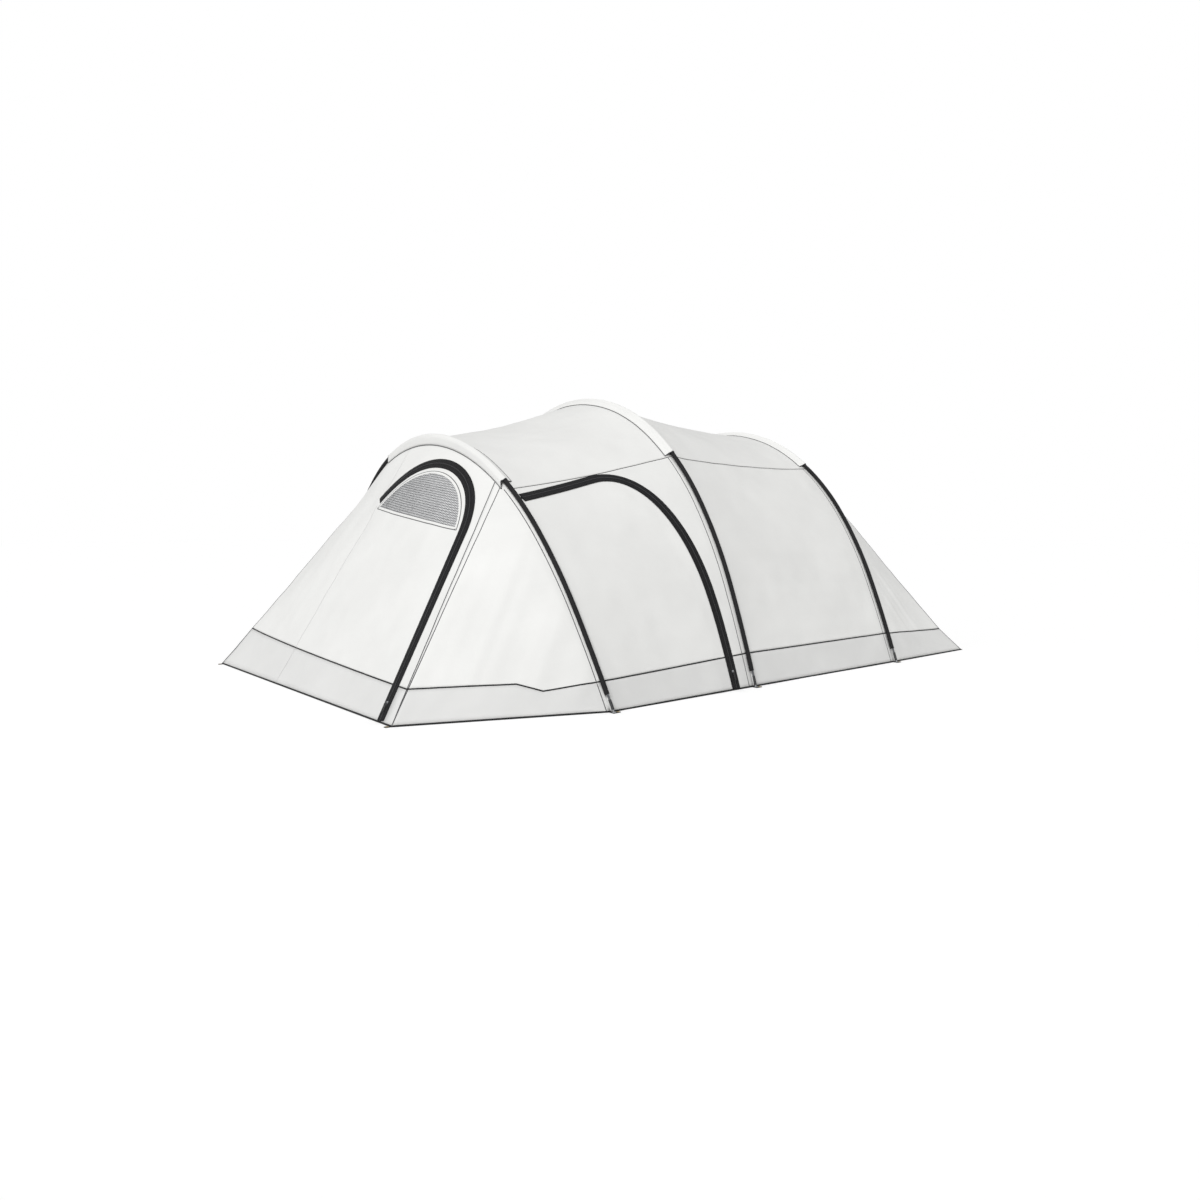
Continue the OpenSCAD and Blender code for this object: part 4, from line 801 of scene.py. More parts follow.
def loft(p, n, profile):
    """Points, faces and flat coordinates of a strip with a profile of (side, out) pairs along a path."""
    _, side, out = frames_along(p, n)
    prof = np.asarray(profile, float)
    points = p[:, None] + side[:, None] * prof[None, :, :1] + out[:, None] * prof[None, :, 1:]
    rows, cols = len(p), len(prof)
    faces = grid_faces(rows, cols, wrap=True)
    faces += [list(range(cols))[::-1], [(rows - 1) * cols + j for j in range(cols)]]
    uv = stacked(lengths(p, 0)[:, None], lengths(prof, 0))
    return points.reshape(-1, 3), faces, uv.reshape(-1, 2)


def joined_object(name, parts, mat, rounded=True):
    points, faces, uv = gather(parts)
    return mesh_object(name, points, faces, MATS[mat], uv, rounded)


def strips(name, paths, profile, mat, slot, bend=None, replaced=()):
    obj = joined_object(name, [loft(p, n, profile) for p, n in paths], mat)
    finish_piece(obj, slot, bend, replaced)


def flat_profile(low_s, high_s, low_n, high_n, ease, fall):
    """A flat band whose upper edges are eased by ease across and fall down."""
    return [
        (low_s, low_n), (high_s, low_n), (high_s, high_n - fall), (high_s - ease, high_n),
        (low_s + ease, high_n), (low_s, high_n - fall),
    ]


def cord_profile(half, low_n, rise):
    """A half-round cord."""
    return [(half * math.cos(a), low_n + rise * math.sin(a)) for a in np.linspace(np.pi, 0, 7)]


# ---- fly panels

BAY_COLUMNS = {1: 60, 2: 80}
CHEEK_START = {FRONT: 0.108, REAR: 0.125}
HEM_START = 0.01
RIGHT_HEM, LEFT_HEM = [0.0] * 3, [1.0] * 3
LEFT_SEAM, LEFT_SKIRT = ([1 - s for s in shares] for shares in (SEAM_SHARE, SKIRT_SHARE))


def bay_grid(base, low_s, high_s, along, across):
    """The cloth of a bay, from the hoop base on, between two lines of shares."""
    q = np.linspace(base, base + 1, along)[:, None]
    return fly_grid(q, lerp(by_hoop(low_s, q), by_hoop(high_s, q), np.linspace(0, 1, across)))


def face_q(h, v):
    return v if h == FRONT else 4 - v


def face_panel(h, rows, t, lift=0.0):
    """The cloth of an end face above its skirt."""
    return fly_grid(face_q(h, lerp(skirt_top(h, t), 1.0, even(rows))), t, lift)


def face_skirt(h, t, lift=0.0):
    return fly_grid(face_q(h, even(8) * skirt_top(h, t)), t, lift)


for name, replaced, base, low_s, high_s, across in (
    ("roof_front", "front_roof", 1, SEAM_SHARE, LEFT_SEAM, 130),
    ("roof_rear", "rear_roof", 2, SEAM_SHARE, LEFT_SEAM, 130),
    ("side_left_front", "front_left_side", 1, LEFT_SEAM, LEFT_SKIRT, 80),
    ("side_left_rear", "rear_left_side", 2, LEFT_SEAM, LEFT_SKIRT, 80),
    ("side_right_rear", "rear_right_side", 2, SKIRT_SHARE, SEAM_SHARE, 80),
):
    cloth_piece(name, replaced, [bay_grid(base, low_s, high_s, BAY_COLUMNS[base], across)])
cloth_piece(
    "skirt_left", "left_skirt", [bay_grid(k, LEFT_SKIRT, LEFT_HEM, 70, 9) for k in (1, 2)], "skirt"
)
for h, end in ((FRONT, "front"), (REAR, "rear")):
    cheek = np.linspace(CHEEK_START[h], 1, 56) * CORNER_SHARE[h]
    cloth_piece(f"cheek_{end}_right", f"{end}_right_cheek", [face_panel(h, 70, cheek)])
    cloth_piece(f"cheek_{end}_left", f"{end}_left_cheek", [face_panel(h, 70, 1 - cheek)])
rear_t = np.linspace(c_rear, 1 - c_rear, 120)
cloth_piece("back_panel", "rear_panel", [face_panel(REAR, 80, rear_t)])
rim_t = np.linspace(HEM_START, 1, 50)
rear_rim = rim_t * c_rear
cloth_piece(
    "skirt_back", "rear_skirt", [face_skirt(REAR, t) for t in (rear_rim, rear_t, 1 - rear_rim)], "skirt"
)

# ---- front face


def front_at(y, z):
    """Places on the front face that show at y, z from the front."""
    low_t = np.full(np.shape(y), ZIP_SHARE - 0.01)
    high_t = np.full(np.shape(y), 1 - c_front)
    for _ in range(40):
        t = (low_t + high_t) / 2
        a, b = end_hem(FRONT, t), fly_edge(FRONT, t)
        v = (z - a[..., 2]) / (b[..., 2] - a[..., 2])
        here = lerp(a[..., 1], b[..., 1], v)
        low_t, high_t = np.where(here < y, t, low_t), np.where(here < y, high_t, t)
    return v, t


VENT_R = ARCH_R - 0.055
SILL_Y, SILL_Z, SILL_SLOPE = ARCH_C[0], ARCH_TOP - 0.315, math.radians(7.7)
SILL_COS, SILL_SIN = math.cos(SILL_SLOPE), math.sin(SILL_SLOPE)


def above_sill(y, z):
    return -(y - SILL_Y) * SILL_SIN + (z - SILL_Z) * SILL_COS


def in_vent(points, grow=0.0):
    y, z = points[:, 1], points[:, 2]
    inside = np.hypot(y - ARCH_C[0], z - ARCH_C[1]) < VENT_R + grow
    return inside & (above_sill(y, z) > -grow)


# The front door's fold: its foot and a point FRONT_BEND_WIDTH from it on the door's side. Pieces given these
# are fixed in place, not bent.
FRONT_BEND_WIDTH = 0.06
fold_foot = end_hem(FRONT, np.array(FOLD_SHARE))
fold_dir = unit(fly_edge(FRONT, FOLD_SHARE) - fold_foot)
to_door = np.cross(fold_dir, fly_out(0.4, FOLD_SHARE))
to_door = to_door if to_door[1] < 0 else -to_door
FRONT_BEND = ("tent", "front_door", tuple(fold_foot), tuple(fold_foot + to_door * FRONT_BEND_WIDTH))

door_t = eased(ZIP_SHARE + SET_SHARE, FOLD_SHARE, 220)
rows = np.concatenate([np.linspace(0, 0.6, 60), np.linspace(0.6, 1, 90)[1:]])[:, None]
door_v = lerp(skirt_top(FRONT, door_t), arch_v(door_t, ARCH_R - SETBACK), rows)
cloth_piece("door_front", "front_door", [fly_grid(door_v, door_t)], bend=FRONT_BEND, drop=in_vent)
cloth_piece("door_front_skirt", "front_door_skirt", [face_skirt(FRONT, door_t)], "skirt", FRONT_BEND)

FLAP, FLAP_UNDER = 0.0028, 0.0011


def beyond_fold(t):
    """The places t and their lifts, with a narrow flap before them that lies under the door's edge."""
    return np.append(FOLD_SHARE - FLAP, t), np.append(-FLAP_UNDER, np.zeros(len(t)))


left_t, left_lift = beyond_fold(np.linspace(FOLD_SHARE, 1 - c_front, 60))
cloth_piece("front_left", "front_left_panel", [face_panel(FRONT, 90, left_t, left_lift)])

edge_t = ZIP_SHARE - SET_SHARE
edge_low, corner_low = (float(skirt_top(FRONT, np.array(t))) for t in (edge_t, c_front))
inner_line = arch_line(edge_t, edge_low, ARCH_R + SETBACK, FOLD_SHARE, 70, 130)
outer_line = (
    np.append(np.linspace(corner_low, 1, 70), np.ones(129)),
    np.append(np.full(70, c_front), np.linspace(c_front, FOLD_SHARE, 130)[1:]),
)
cloth_piece("front_strip", "front_surround", [between(inner_line, outer_line, 16)])
cloth_piece(
    "skirt_front", "front_skirt",
    [
        face_skirt(FRONT, np.append(rim_t * c_front, edge_t)),
        face_skirt(FRONT, *beyond_fold(np.linspace(FOLD_SHARE, 1, 90)[:-1])),
    ],
    "skirt",
)

# The vent: a fine net, a lattice of heavier strands over it, a binding and a stitched edge
vent_places = front_at(*np.meshgrid(
    np.linspace(ARCH_C[0] - VENT_R, ARCH_C[0] + VENT_R, 110), np.linspace(SILL_Z - 0.1, ARCH_TOP - 0.05, 60)
))
cloth_piece(
    "vent_netting", "front_vent_mesh", [fly_grid(*vent_places, lift=-0.0006)], "netting", FRONT_BEND,
    thick=NET_CLOTH, drop=lambda p: ~in_vent(p, 0.004),
)
STRAND_GAP = 0.0125
STRAND = [(-0.0013, -0.0006), (0.0013, -0.0006), (0.0006, 0.0008), (-0.0006, 0.0008)]
strand_paths = []
for crossing in (False, True):
    for offset in np.arange(-80, 81) * STRAND_GAP:
        s = np.linspace(-0.7, 0.7, 400)
        a, b = (s, offset) if crossing else (offset, s)
        y = SILL_Y + a * SILL_COS - b * SILL_SIN
        z = SILL_Z + a * SILL_SIN + b * SILL_COS
        inside = np.where(in_vent(stacked(y, y, z), 0.003))[0]
        if len(inside) < 6:
            continue
        keep = np.unique(np.append(inside[::6], inside[-1]))
        strand_paths.append(fly_grid(*front_at(y[keep], z[keep]), lift=0.0001))
strips("vent_strands", strand_paths, STRAND, "strand", "mesh", FRONT_BEND)


def vent_path(grow, lift):
    """Round the vent, grow metres outside its opening."""
    ring = ARCH_C + circle(VENT_R + grow, 720)
    up = above_sill(*ring.T) > -grow
    start = np.where(up & ~np.roll(up, 1))[0][0]
    arch = np.roll(ring, -start, 0)[np.roll(up, -start)]
    base = line(arch[-1], arch[0], 120)[1:-1]
    y, z = np.vstack([arch[::3], base[::2], arch[:1]]).T
    q, t = front_at(y, z)
    return fly_grid(q, np.minimum(t, FOLD_SHARE - 0.002), lift)


BINDING = flat_profile(-0.0075, 0.0075, -0.0012, 0.0012, 0.00072, 0.00072)
strips(
    "vent_binding", [vent_path(0.0, 0.0003)], BINDING, "hood", "fly_cloth", FRONT_BEND, ["front_vent_binding"]
)
strips(
    "vent_edge", [vent_path(0.008, 0.0006)], cord_profile(0.0022, -0.0004, 0.0018), "seam", "fly_cloth",
    FRONT_BEND,
)

# ---- side door
# Its hinge line lies along the front hoop, from HINGE_START behind it on. Pieces given it are fixed in place,
# not bent.

HINGE_START, SIDE_BEND_WIDTH = 0.014, 0.12
hinge_at = fly_edge(FRONT, 0.0) + hoops[FRONT].axis * HINGE_START
SIDE_BENDING = ("tent", "side_door", tuple(hinge_at), tuple(hinge_at + hoops[FRONT].axis * SIDE_BEND_WIDTH))

top_q = side_q(np.linspace(HINGE_START, SIDE_STRAIGHT, 50))
corner_q, corner_t = side_corner(np.linspace(np.pi / 2, 0, 62)[1:], -SETBACK)
door_q = np.concatenate([top_q, corner_q])
door_top = door_q, np.append(by_hoop(SIDE_TOP, top_q) - SET_SHARE, corner_t)
door_seam = door_q, by_hoop(SKIRT_SHARE, door_q)
cloth_piece("door_side", "side_door", [between(door_seam, door_top, 80)], bend=SIDE_BENDING)
door_hem = door_q, 0.0 * door_q
cloth_piece("door_side_skirt", "side_door_skirt", [between(door_hem, door_seam, 9)], "skirt", SIDE_BENDING)

opening = side_line(SETBACK, float(by_hoop(SKIRT_SHARE, side_q(SIDE_REACH))), 0.0)
front_q = np.linspace(2, 1, BAY_COLUMNS[1] + 1)[1:]
leg_count = len(opening[0]) - len(front_q)
leg_t = np.linspace(SKIRT_SHARE[MIDDLE], SEAM_SHARE[MIDDLE], leg_count)
surround = np.append(np.full(leg_count, 2.0), front_q), np.append(leg_t, by_hoop(SEAM_SHARE, front_q))
hinge_q = side_q(np.array([0.0, HINGE_START / 2, HINGE_START + 0.0005]))[:, None]
hinge_t = np.linspace(0, SIDE_TOP[FRONT] - SET_SHARE, 90)
cloth_piece("side_strip", "side_surround", [between(opening, surround, 18), fly_grid(hinge_q, hinge_t)])
edge_q = float(side_q(SIDE_REACH + SETBACK))
short_q = np.linspace(edge_q, 2, 12)[:, None]
short_t = by_hoop(SKIRT_SHARE, short_q) * np.linspace(0, 1, 9)
cloth_piece(
    "skirt_right", "right_skirt",
    [fly_grid(short_q, short_t), bay_grid(2, RIGHT_HEM, SKIRT_SHARE, 70, 9)], "skirt",
)

# ---- seams

TAPE_COVER = 0.0295
HEM_GAP = 0.0015  # from a zip's middle to the end of the hem's binding
PIPE = cord_profile(0.0040, -0.0008, 0.0030)
THIN = cord_profile(0.0026, -0.0008, 0.0020)
HEM_EDGE = [
    (-0.004, -0.0022), (0.004, -0.0022), (0.0045, -0.0006), (0.004, 0.0012), (-0.004, 0.0012),
    (-0.0045, -0.0006),
]


def curve(base, shares):
    q = np.linspace(base, base + 1, 90)
    return fly_grid(q, by_hoop(shares, q))


def end_lines(front_start, rear_start, zip_gap, counts):
    """Places t along the fixed cloth of the end faces, with the corners among them."""
    for h, first, last, count in (
        (FRONT, front_start * c_front, ZIP_SHARE - zip_gap, counts[0]),
        (FRONT, FOLD_SHARE, 1 - front_start * c_front, counts[1]),
        (REAR, rear_start * c_rear, 1 - rear_start * c_rear, counts[2]),
    ):
        corners = [c for c in (CORNER_SHARE[h], 1 - CORNER_SHARE[h]) if first < c < last]
        yield h, np.sort(np.append(np.linspace(first, last, count), corners))


def up_to_tapes(q, t):
    """The part of a seam that isn't covered by a zip's tapes."""
    q, t = as_places(q, t)
    bare = [zip_tree.find(p)[2] > TAPE_COVER for p in fly(q, t)]
    return fly_grid(q[bare], t[bare])


strips(
    "roof_seams", [curve(k, shares) for k in (1, 2) for shares in (SEAM_SHARE, LEFT_SEAM)], THIN, "piping",
    "fly_cloth",
)
skirt_paths = [curve(1, LEFT_SKIRT), curve(2, LEFT_SKIRT), curve(2, SKIRT_SHARE)]
leg_q = np.linspace(edge_q, 2, 60)
skirt_paths.append(up_to_tapes(leg_q, by_hoop(SKIRT_SHARE, leg_q)))
for h, ts in end_lines(CHEEK_START[FRONT], CHEEK_START[REAR], SET_SHARE + 0.0005, (400, 140, 220)):
    skirt_paths.append(up_to_tapes(face_q(h, skirt_top(h, ts)), ts))
seam_t = np.linspace(door_t[0], door_t[-1], 400)
front_seam = up_to_tapes(skirt_top(FRONT, seam_t), seam_t)
seam_q = np.linspace(door_q[0], door_q[-1], 300)
side_seam = up_to_tapes(seam_q, by_hoop(SKIRT_SHARE, seam_q))

gap_share = HEM_GAP / FLY_LENGTH[FRONT]
hem_paths = [curve(1, LEFT_HEM), curve(2, LEFT_HEM), curve(2, RIGHT_HEM)]
hem_paths.append(fly_grid(np.linspace(side_q(SIDE_REACH + HEM_GAP), 2, 16), 0.0))
for h, ts in end_lines(HEM_START, HEM_START, gap_share, (100, 120, 200)):
    hem_paths.append(fly_grid(face_q(h, 0.0), ts))
front_hem = fly_grid(0.0, np.append(ZIP_SHARE + gap_share, door_t))
side_hem = fly_grid(np.append(door_q, side_q(SIDE_REACH - HEM_GAP)), 0.0)
for name, paths, profile, bend in (
    ("skirt_seams", skirt_paths, PIPE, None),
    ("door_front_seam", [front_seam], PIPE, FRONT_BEND),
    ("door_side_seam", [side_seam], PIPE, SIDE_BENDING),
    ("hem_binding", hem_paths, HEM_EDGE, None),
    ("door_front_hem", [front_hem], HEM_EDGE, FRONT_BEND),
    ("door_side_hem", [side_hem], HEM_EDGE, SIDE_BENDING),
):
    strips(name, paths, profile, "piping", "skirt_cloth", bend)

# The end faces' corners, the front ones with a second line that leaves the first towards the hoop
up_v = np.linspace(0.0, 0.99, 120)
corner_paths = []
for h, shifts in ((FRONT, (0.0, -0.0125)), (REAR, (0.0,))):
    right = [CORNER_SHARE[h] + shift * up_v for shift in shifts]
    for ts in right + [1 - t for t in right]:
        corner_paths.append(fly_grid(face_q(h, up_v), ts))
strips("corner_seams", corner_paths, THIN, "seam", "fly_cloth")

# A stitched line in front of each sleeve, from the ground to the hood
SLEEVE_SEAM, BELOW_HOOD = 0.034, 0.02
sleeve_seams = []
for h in range(3):
    for left, reach in enumerate(HOOD_REACH[h]):
        ts = np.linspace(0.0002, share(h, reach + BELOW_HOOD), 400)
        gap = SLEEVE_SEAM / np.linalg.norm(fly(h, ts) - fly(h + 1, ts), axis=-1)
        ts, gap = ts[gap < 0.98], gap[gap < 0.98]
        sleeve_seams.append(fly_grid(h + 1 - gap, 1 - ts if left else ts))
strips("sleeve_seams", sleeve_seams, THIN, "seam", "fly_cloth")

# ---- hoods and sleeves

HOOD_HALF, HOOD_LIFT = 0.047, 0.0026
HOOD_TUCK, HOOD_WOBBLE = 0.0006, 0.00036
# The hood over its pole: aside along the tent, up from the pole, and which way the tucks move it
HOOD_SECTION = [
    (-0.026, -0.0075, 0), (-0.0155, 0.0005, 1), (-0.0065, 0.0095, 0), (0.0, 0.0114, 0),
    (0.0065, 0.0095, 0), (0.0155, 0.0005, -1), (0.026, -0.0075, 0),
]


def smooth_section(control, count=29):
    """A smooth curve through control points of shape (rows, k, 3), by Catmull-Rom."""
    first, last = 2 * control[:, :1] - control[:, 1:2], 2 * control[:, -1:] - control[:, -2:-1]
    ext = np.concatenate([first, control, last], 1)
    s = np.linspace(0, control.shape[1] - 1 - 1e-9, count)
    i = np.floor(s).astype(int)
    f = (s - i)[None, :, None]
    p0, p1, p2, p3 = (ext[:, i + d] for d in range(4))
    square, cube = 2 * p0 - 5 * p1 + 4 * p2 - p3, 3 * p1 - p0 - 3 * p2 + p3
    return 0.5 * (2 * p1 + (p2 - p0) * f + square * f**2 + cube * f**3)


hood_edges = []
for h, name in enumerate(HOOP_NAMES):
    hoop = hoops[h]
    right_reach, left_reach = HOOD_REACH[h]
    tp = np.linspace(0.5 - right_reach / hoop.length, 0.5 + left_reach / hoop.length, 240)
    ft = (tp + OVERRUN[h]) / (1 + 2 * OVERRUN[h])
    pole, n, x = hoop.point(tp), hoop.normal(tp), hoop.axis
    sides = []
    for direction in (-1, 1):
        dist = np.linalg.norm(fly(h + 1 + direction, ft) - fly(h + 1, ft), axis=-1)
        sides.append(fly_grid(h + 1 + direction * HOOD_HALF / dist, ft, lift=HOOD_LIFT))
    tuck = HOOD_TUCK * noise1(tp * hoop.length / 0.02, 11 + h)[:, None]
    over = [pole + x * aside + n * (up + way * tuck) for aside, up, way in HOOD_SECTION]
    section = smooth_section(np.stack([sides[0][0], *over, sides[1][0]], 1))
    wobble = HOOD_WOBBLE * noise3(section, 0.04) * np.sin(np.linspace(0, np.pi, section.shape[1]))
    section = section + n[:, None] * wobble[..., None]
    out = np.broadcast_to(n[:, None], section.shape)
    grid = section.transpose(1, 0, 2), out.transpose(1, 0, 2)
    cloth_piece(f"hood_{name}", f"{name}_hood", [grid], "hood")
    hood_edges += [(p + out_n * 0.0003, out_n) for p, out_n in sides]
    hood_edges += [(section[end] + n[end] * 0.0002, out[end]) for end in (0, -1)]
strips("hood_edges", hood_edges, cord_profile(0.0024, -0.0010, 0.0020), "seam", "fly_cloth")

SLEEVE_START, SLEEVE_UNDER_HOOD = 0.060, 0.030
SLEEVE_SLACK, SLEEVE_CRUMPLE = 0.0004, 0.0005
SLEEVE_ROWS = 170
turn = np.linspace(0, 2 * np.pi, 25)[:-1]
crumples = noise3(stacked(np.arange(SLEEVE_ROWS)[:, None] * 0.35, np.cos(turn) * 2, np.sin(turn) * 2), 1.0)
radius = (SLEEVE_R - SLEEVE_SLACK + SLEEVE_CRUMPLE * crumples)[..., None]
for h, name in enumerate(HOOP_NAMES):
    hoop = hoops[h]
    parts, total = [], 0.0
    for left, reach in enumerate(HOOD_REACH[h]):
        tp = np.linspace(SLEEVE_START, hoop.length / 2 - reach + SLEEVE_UNDER_HOOD, SLEEVE_ROWS) / hoop.length
        total += (tp[-1] - tp[0]) * hoop.length
        tp = 1 - tp if left else tp
        centre, n = hoop.point(tp, -SLEEVE_CENTRE)[:, None], hoop.normal(tp)[:, None]
        rays = np.cos(turn)[None, :, None] * hoop.axis + np.sin(turn)[None, :, None] * n
        walls = [centre + radius * rays, centre + (radius - THICK) * rays]
        run = lengths(centre[:, 0], 0)[:, None]
        uv = stacked(run, turn * SLEEVE_R).reshape(-1, 2)
        m, inner = len(turn), SLEEVE_ROWS * len(turn)
        faces = grid_faces(SLEEVE_ROWS, m, 0, left, True)
        faces += grid_faces(SLEEVE_ROWS, m, inner, not left, True)
        for row in (0, SLEEVE_ROWS - 1):
            for j in range(m):
                a, b = row * m + j, row * m + (j + 1) % m
                quad = [a, b, inner + b, inner + a]
                faces.append(quad if (row == 0) == left else quad[::-1])
        parts.append((np.vstack([wall.reshape(-1, 3) for wall in walls]), faces, np.vstack([uv, uv])))
    obj = joined_object(f"sleeve_{name}", parts, "sleeve")
    finish_piece(obj, "sleeve_cloth", replaced=[f"{name}_sleeves"])

# ---- zips

TAPE, TAPE_SLIT = 0.031, 0.0003
TAPE_LOW, TAPE_TOP = 0.0009, 0.0019
COIL_LOW, COIL_RISE, COIL_PITCH = TAPE_TOP + 0.0002, 0.0026, 0.0042
COIL_HALF = 0.21 * COIL_PITCH
# A coil's outline: from over the middle out to its own side, and up as shares of COIL_RISE
COIL = [
    (0.0034, 0.42), (0.0030, 0.95), (0.0006, 1.0), (-0.0009, 0.8), (-0.0009, 0.2), (0.0006, 0.0),
    (0.0030, 0.05),
]


def columns_at(s, run, values):
    return np.stack([np.interp(s, run, column) for column in values.T], -1)


def coils(p, n, sign, phase):
    """The coils of one side of a zip, small rounded bars that reach over its middle."""
    run = lengths(p, 0)
    middles = (np.arange(int(run[-1] / COIL_PITCH)) + 0.5) * COIL_PITCH
    at, out = columns_at(middles, run, p), unit(columns_at(middles, run, n))
    d, side, up = frames_along(at, out)
    at = at + d * phase * COIL_PITCH
    cols = len(COIL)
    points, faces = [], []
    for k in range(len(at)):
        for edge in (-COIL_HALF, COIL_HALF):
            for s, z in COIL:
                points.append(at[k] + side[k] * s * sign + d[k] * edge + up[k] * (COIL_LOW + z * COIL_RISE))
        near = list(range(2 * cols * k, 2 * cols * k + cols))
        far = [j + cols for j in near]
        ring = [near[::-1], far]
        ring += [[near[j], near[j - cols + 1], far[j - cols + 1], far[j]] for j in range(cols)]
        faces += ring if sign > 0 else [face[::-1] for face in ring]
    return points, faces


def zip_pieces(name, p, n, bend, fly_tape, door_tape, chain=()):
    """Two tapes and two rows of coils, for the CAD nodes named; the path's right-hand side is the fly's."""
    for side, low_s, high_s, joint, replaced in (
        ("fly", -TAPE, -TAPE_SLIT, None, fly_tape), ("door", TAPE_SLIT, TAPE, bend, door_tape)
    ):
        profile = flat_profile(low_s, high_s, TAPE_LOW, TAPE_TOP, 0.0005, 0.0003)
        strips(f"{name}_tape_{side}", [(p, n)], profile, "tape", "zip", joint, [replaced])
    for side, sign, phase, joint, replaced in (("fly", -1, 0.0, None, chain), ("door", 1, 0.5, bend, ())):
        points, faces = coils(p, n, sign, phase)
        uv = np.zeros((len(points), 2))
        obj = mesh_object(f"{name}_coils_{side}", points, faces, MATS["coil"], uv, rounded=False)
        finish_piece(obj, "zip", joint, replaced)


for name, p, n, bend in (
    ("front_zip", front_p, front_n, FRONT_BEND), ("side_zip", side_p, side_n, SIDE_BENDING)
):
    zip_pieces(name, p, n, bend, f"{name}_fly_tape", f"{name}_door_tape", [f"{name}_chain"])

# ---- bedroom

INNER_GAP = 0.085
INNER_T = 0.0012
TRAY, TRAY_INSET = 0.090, 0.020
BED_X = HOOP_X[MIDDLE] + 0.060
BED_REAR_X = HEM_X[REAR] - 0.170
CORNER = 0.3  # share of the way round to the inner tent's corners
DRAWN_IN, WAVE, WAVE_SIZE = 0.002, 0.005, 0.2


def inner_edge(h, t):
    return hoops[h].point(t, -INNER_GAP)


TRAY_SHARE = [(TRAY - inner_edge(h, 0.0)[2]) / rise_by_share(hoops[h].length, h) for h in range(3)]


def around(h, w):
    """The inner tent under a hoop, w running from tray to tray."""
    return inner_edge(h, lerp(TRAY_SHARE[h], 1 - TRAY_SHARE[h], w))


def canopy(u, w):
    a, b = around(MIDDLE, w), around(REAR, w)
    start = (BED_X - a[..., :1]) / (b[..., :1] - a[..., :1])
    return lerp(a, b, lerp(start, 1.0, u[..., None]))


def edge_fade(rows, cols):
    a, b = (np.sin(np.linspace(0, np.pi, count)) ** 0.5 for count in (rows, cols))
    return a[:, None] * b[None]


def hung(p, inside):
    """Points and normals of inner cloth round a place inside, which draws in and waves between its edges."""
    n = np.cross(np.gradient(p, axis=1), np.gradient(p, axis=0))
    away = np.sum(n * (p - np.asarray(inside)), -1, keepdims=True)
    n = unit(np.where(away > 0, n, -n) + 1e-12)
    fade = edge_fade(*p.shape[:2])[..., None]
    p = p - n * DRAWN_IN * fade
    return p + n * (WAVE * noise3(p, WAVE_SIZE)[..., None] * fade), n


def inner_piece(name, replaced, grid, bend=None):
    cloth_piece(name, replaced, [grid], "inner", bend, THIN_CLOTH)


for name, replaced, a, b, count in (
    ("bedroom_side_right", "bedroom_right_wall", 0, CORNER, 50),
    ("bedroom_top", "bedroom_roof", CORNER, 1 - CORNER, 90),
    ("bedroom_side_left", "bedroom_left_wall", 1 - CORNER, 1, 50),
):
    p = canopy(*np.broadcast_arrays(even(50), np.linspace(a, b, count)))
    inner_piece(name, replaced, hung(p, ((BED_X + BED_REAR_X) / 2, 0, 0.4)))

# The back wall slants from the rear hoop to the groundsheet's rear edge, with a corner fold at each side.
hoop_half = -float(around(REAR, 0.0)[1])
rear_half = hoop_half - TRAY_INSET
wr = np.linspace(0.012, 0.988, 150)
sill = round_hem(wr, CORNER, lambda end: around(REAR, end), BED_REAR_X, rear_half, TRAY)
p = lerp(around(REAR, wr), sill, even(50)[..., None])
inner_piece("bedroom_back", "bedroom_rear_wall", hung(p, (BED_X, 0, 0.2)))

# Groundsheet and its upstand
SHEET_INSET = 0.001
SHEET_LOW, SHEET_WAVE, SHEET_WAVE_SIZE = 0.0016, 0.0012, 0.25
plan = np.array([
    (BED_X, -float(canopy(np.array(0.0), np.array(0.0))[1])),
    (float(around(REAR, 0.0)[0]), hoop_half),
    (BED_REAR_X, rear_half),
])
gx = np.linspace(BED_X + SHEET_INSET, BED_REAR_X - SHEET_INSET, 90)[:, None]
fx, fy = np.broadcast_arrays(gx, (np.interp(gx, *plan.T) - SHEET_INSET) * np.linspace(-1, 1, 110))
waves = 1 + noise3(stacked(fx, fy, 0.0), SHEET_WAVE_SIZE)
fz = SHEET_LOW + SHEET_WAVE * waves * edge_fade(*fx.shape)
tray = [(stacked(fx, fy, fz), stacked(0 * fx, 0.0, 1.0))]
round_plan = np.vstack([plan * (1, -1), plan[::-1], plan[:1] * (1, -1)])
for a, b in zip(round_plan[:-1], round_plan[1:]):
    foot = line(a, b, max(4, int(np.linalg.norm(b - a) / 0.03)))
    rise = np.linspace(0.0012, TRAY - SHEET_INSET, 6)[:, None]
    wall = stacked(*foot.T, rise)
    outward = unit(np.array([(b - a)[1], -(b - a)[0], 0.0]))
    tray.append((wall - outward * 0.0002, np.broadcast_to(outward, wall.shape)))
cloth_piece(
    "bedroom_groundsheet", "bedroom_tray", tray, "ground",
    flat=(BED_REAR_X - BED_X + 2 * TRAY, 2 * hoop_half + 2 * TRAY),
)

# Front wall of the bedroom, round its door
DOOR_HALF, DOOR_TALL = 0.430, 1.180
DOOR_SILL = TRAY + 0.030
DOOR_ARCH = DOOR_SILL + DOOR_TALL - DOOR_HALF
DOOR_TOP = DOOR_ARCH + DOOR_HALF
DOOR_CORNER = 0.090
FOLD_END = 0.040
LEG_TOP = (DOOR_HALF, DOOR_ARCH - FOLD_END)
WALL_GAP, WALL_DRAWN_IN, WALL_WAVE_SIZE = 0.0006, 0.0004, 0.16
WALL_X = BED_X - WALL_GAP - INNER_T
BED_BEND_WIDTH = 0.05


def arc(c, r, start, end, count):
    a = np.radians(np.linspace(start, end, count))
    return np.asarray(c) + r * stacked(np.cos(a), np.sin(a))


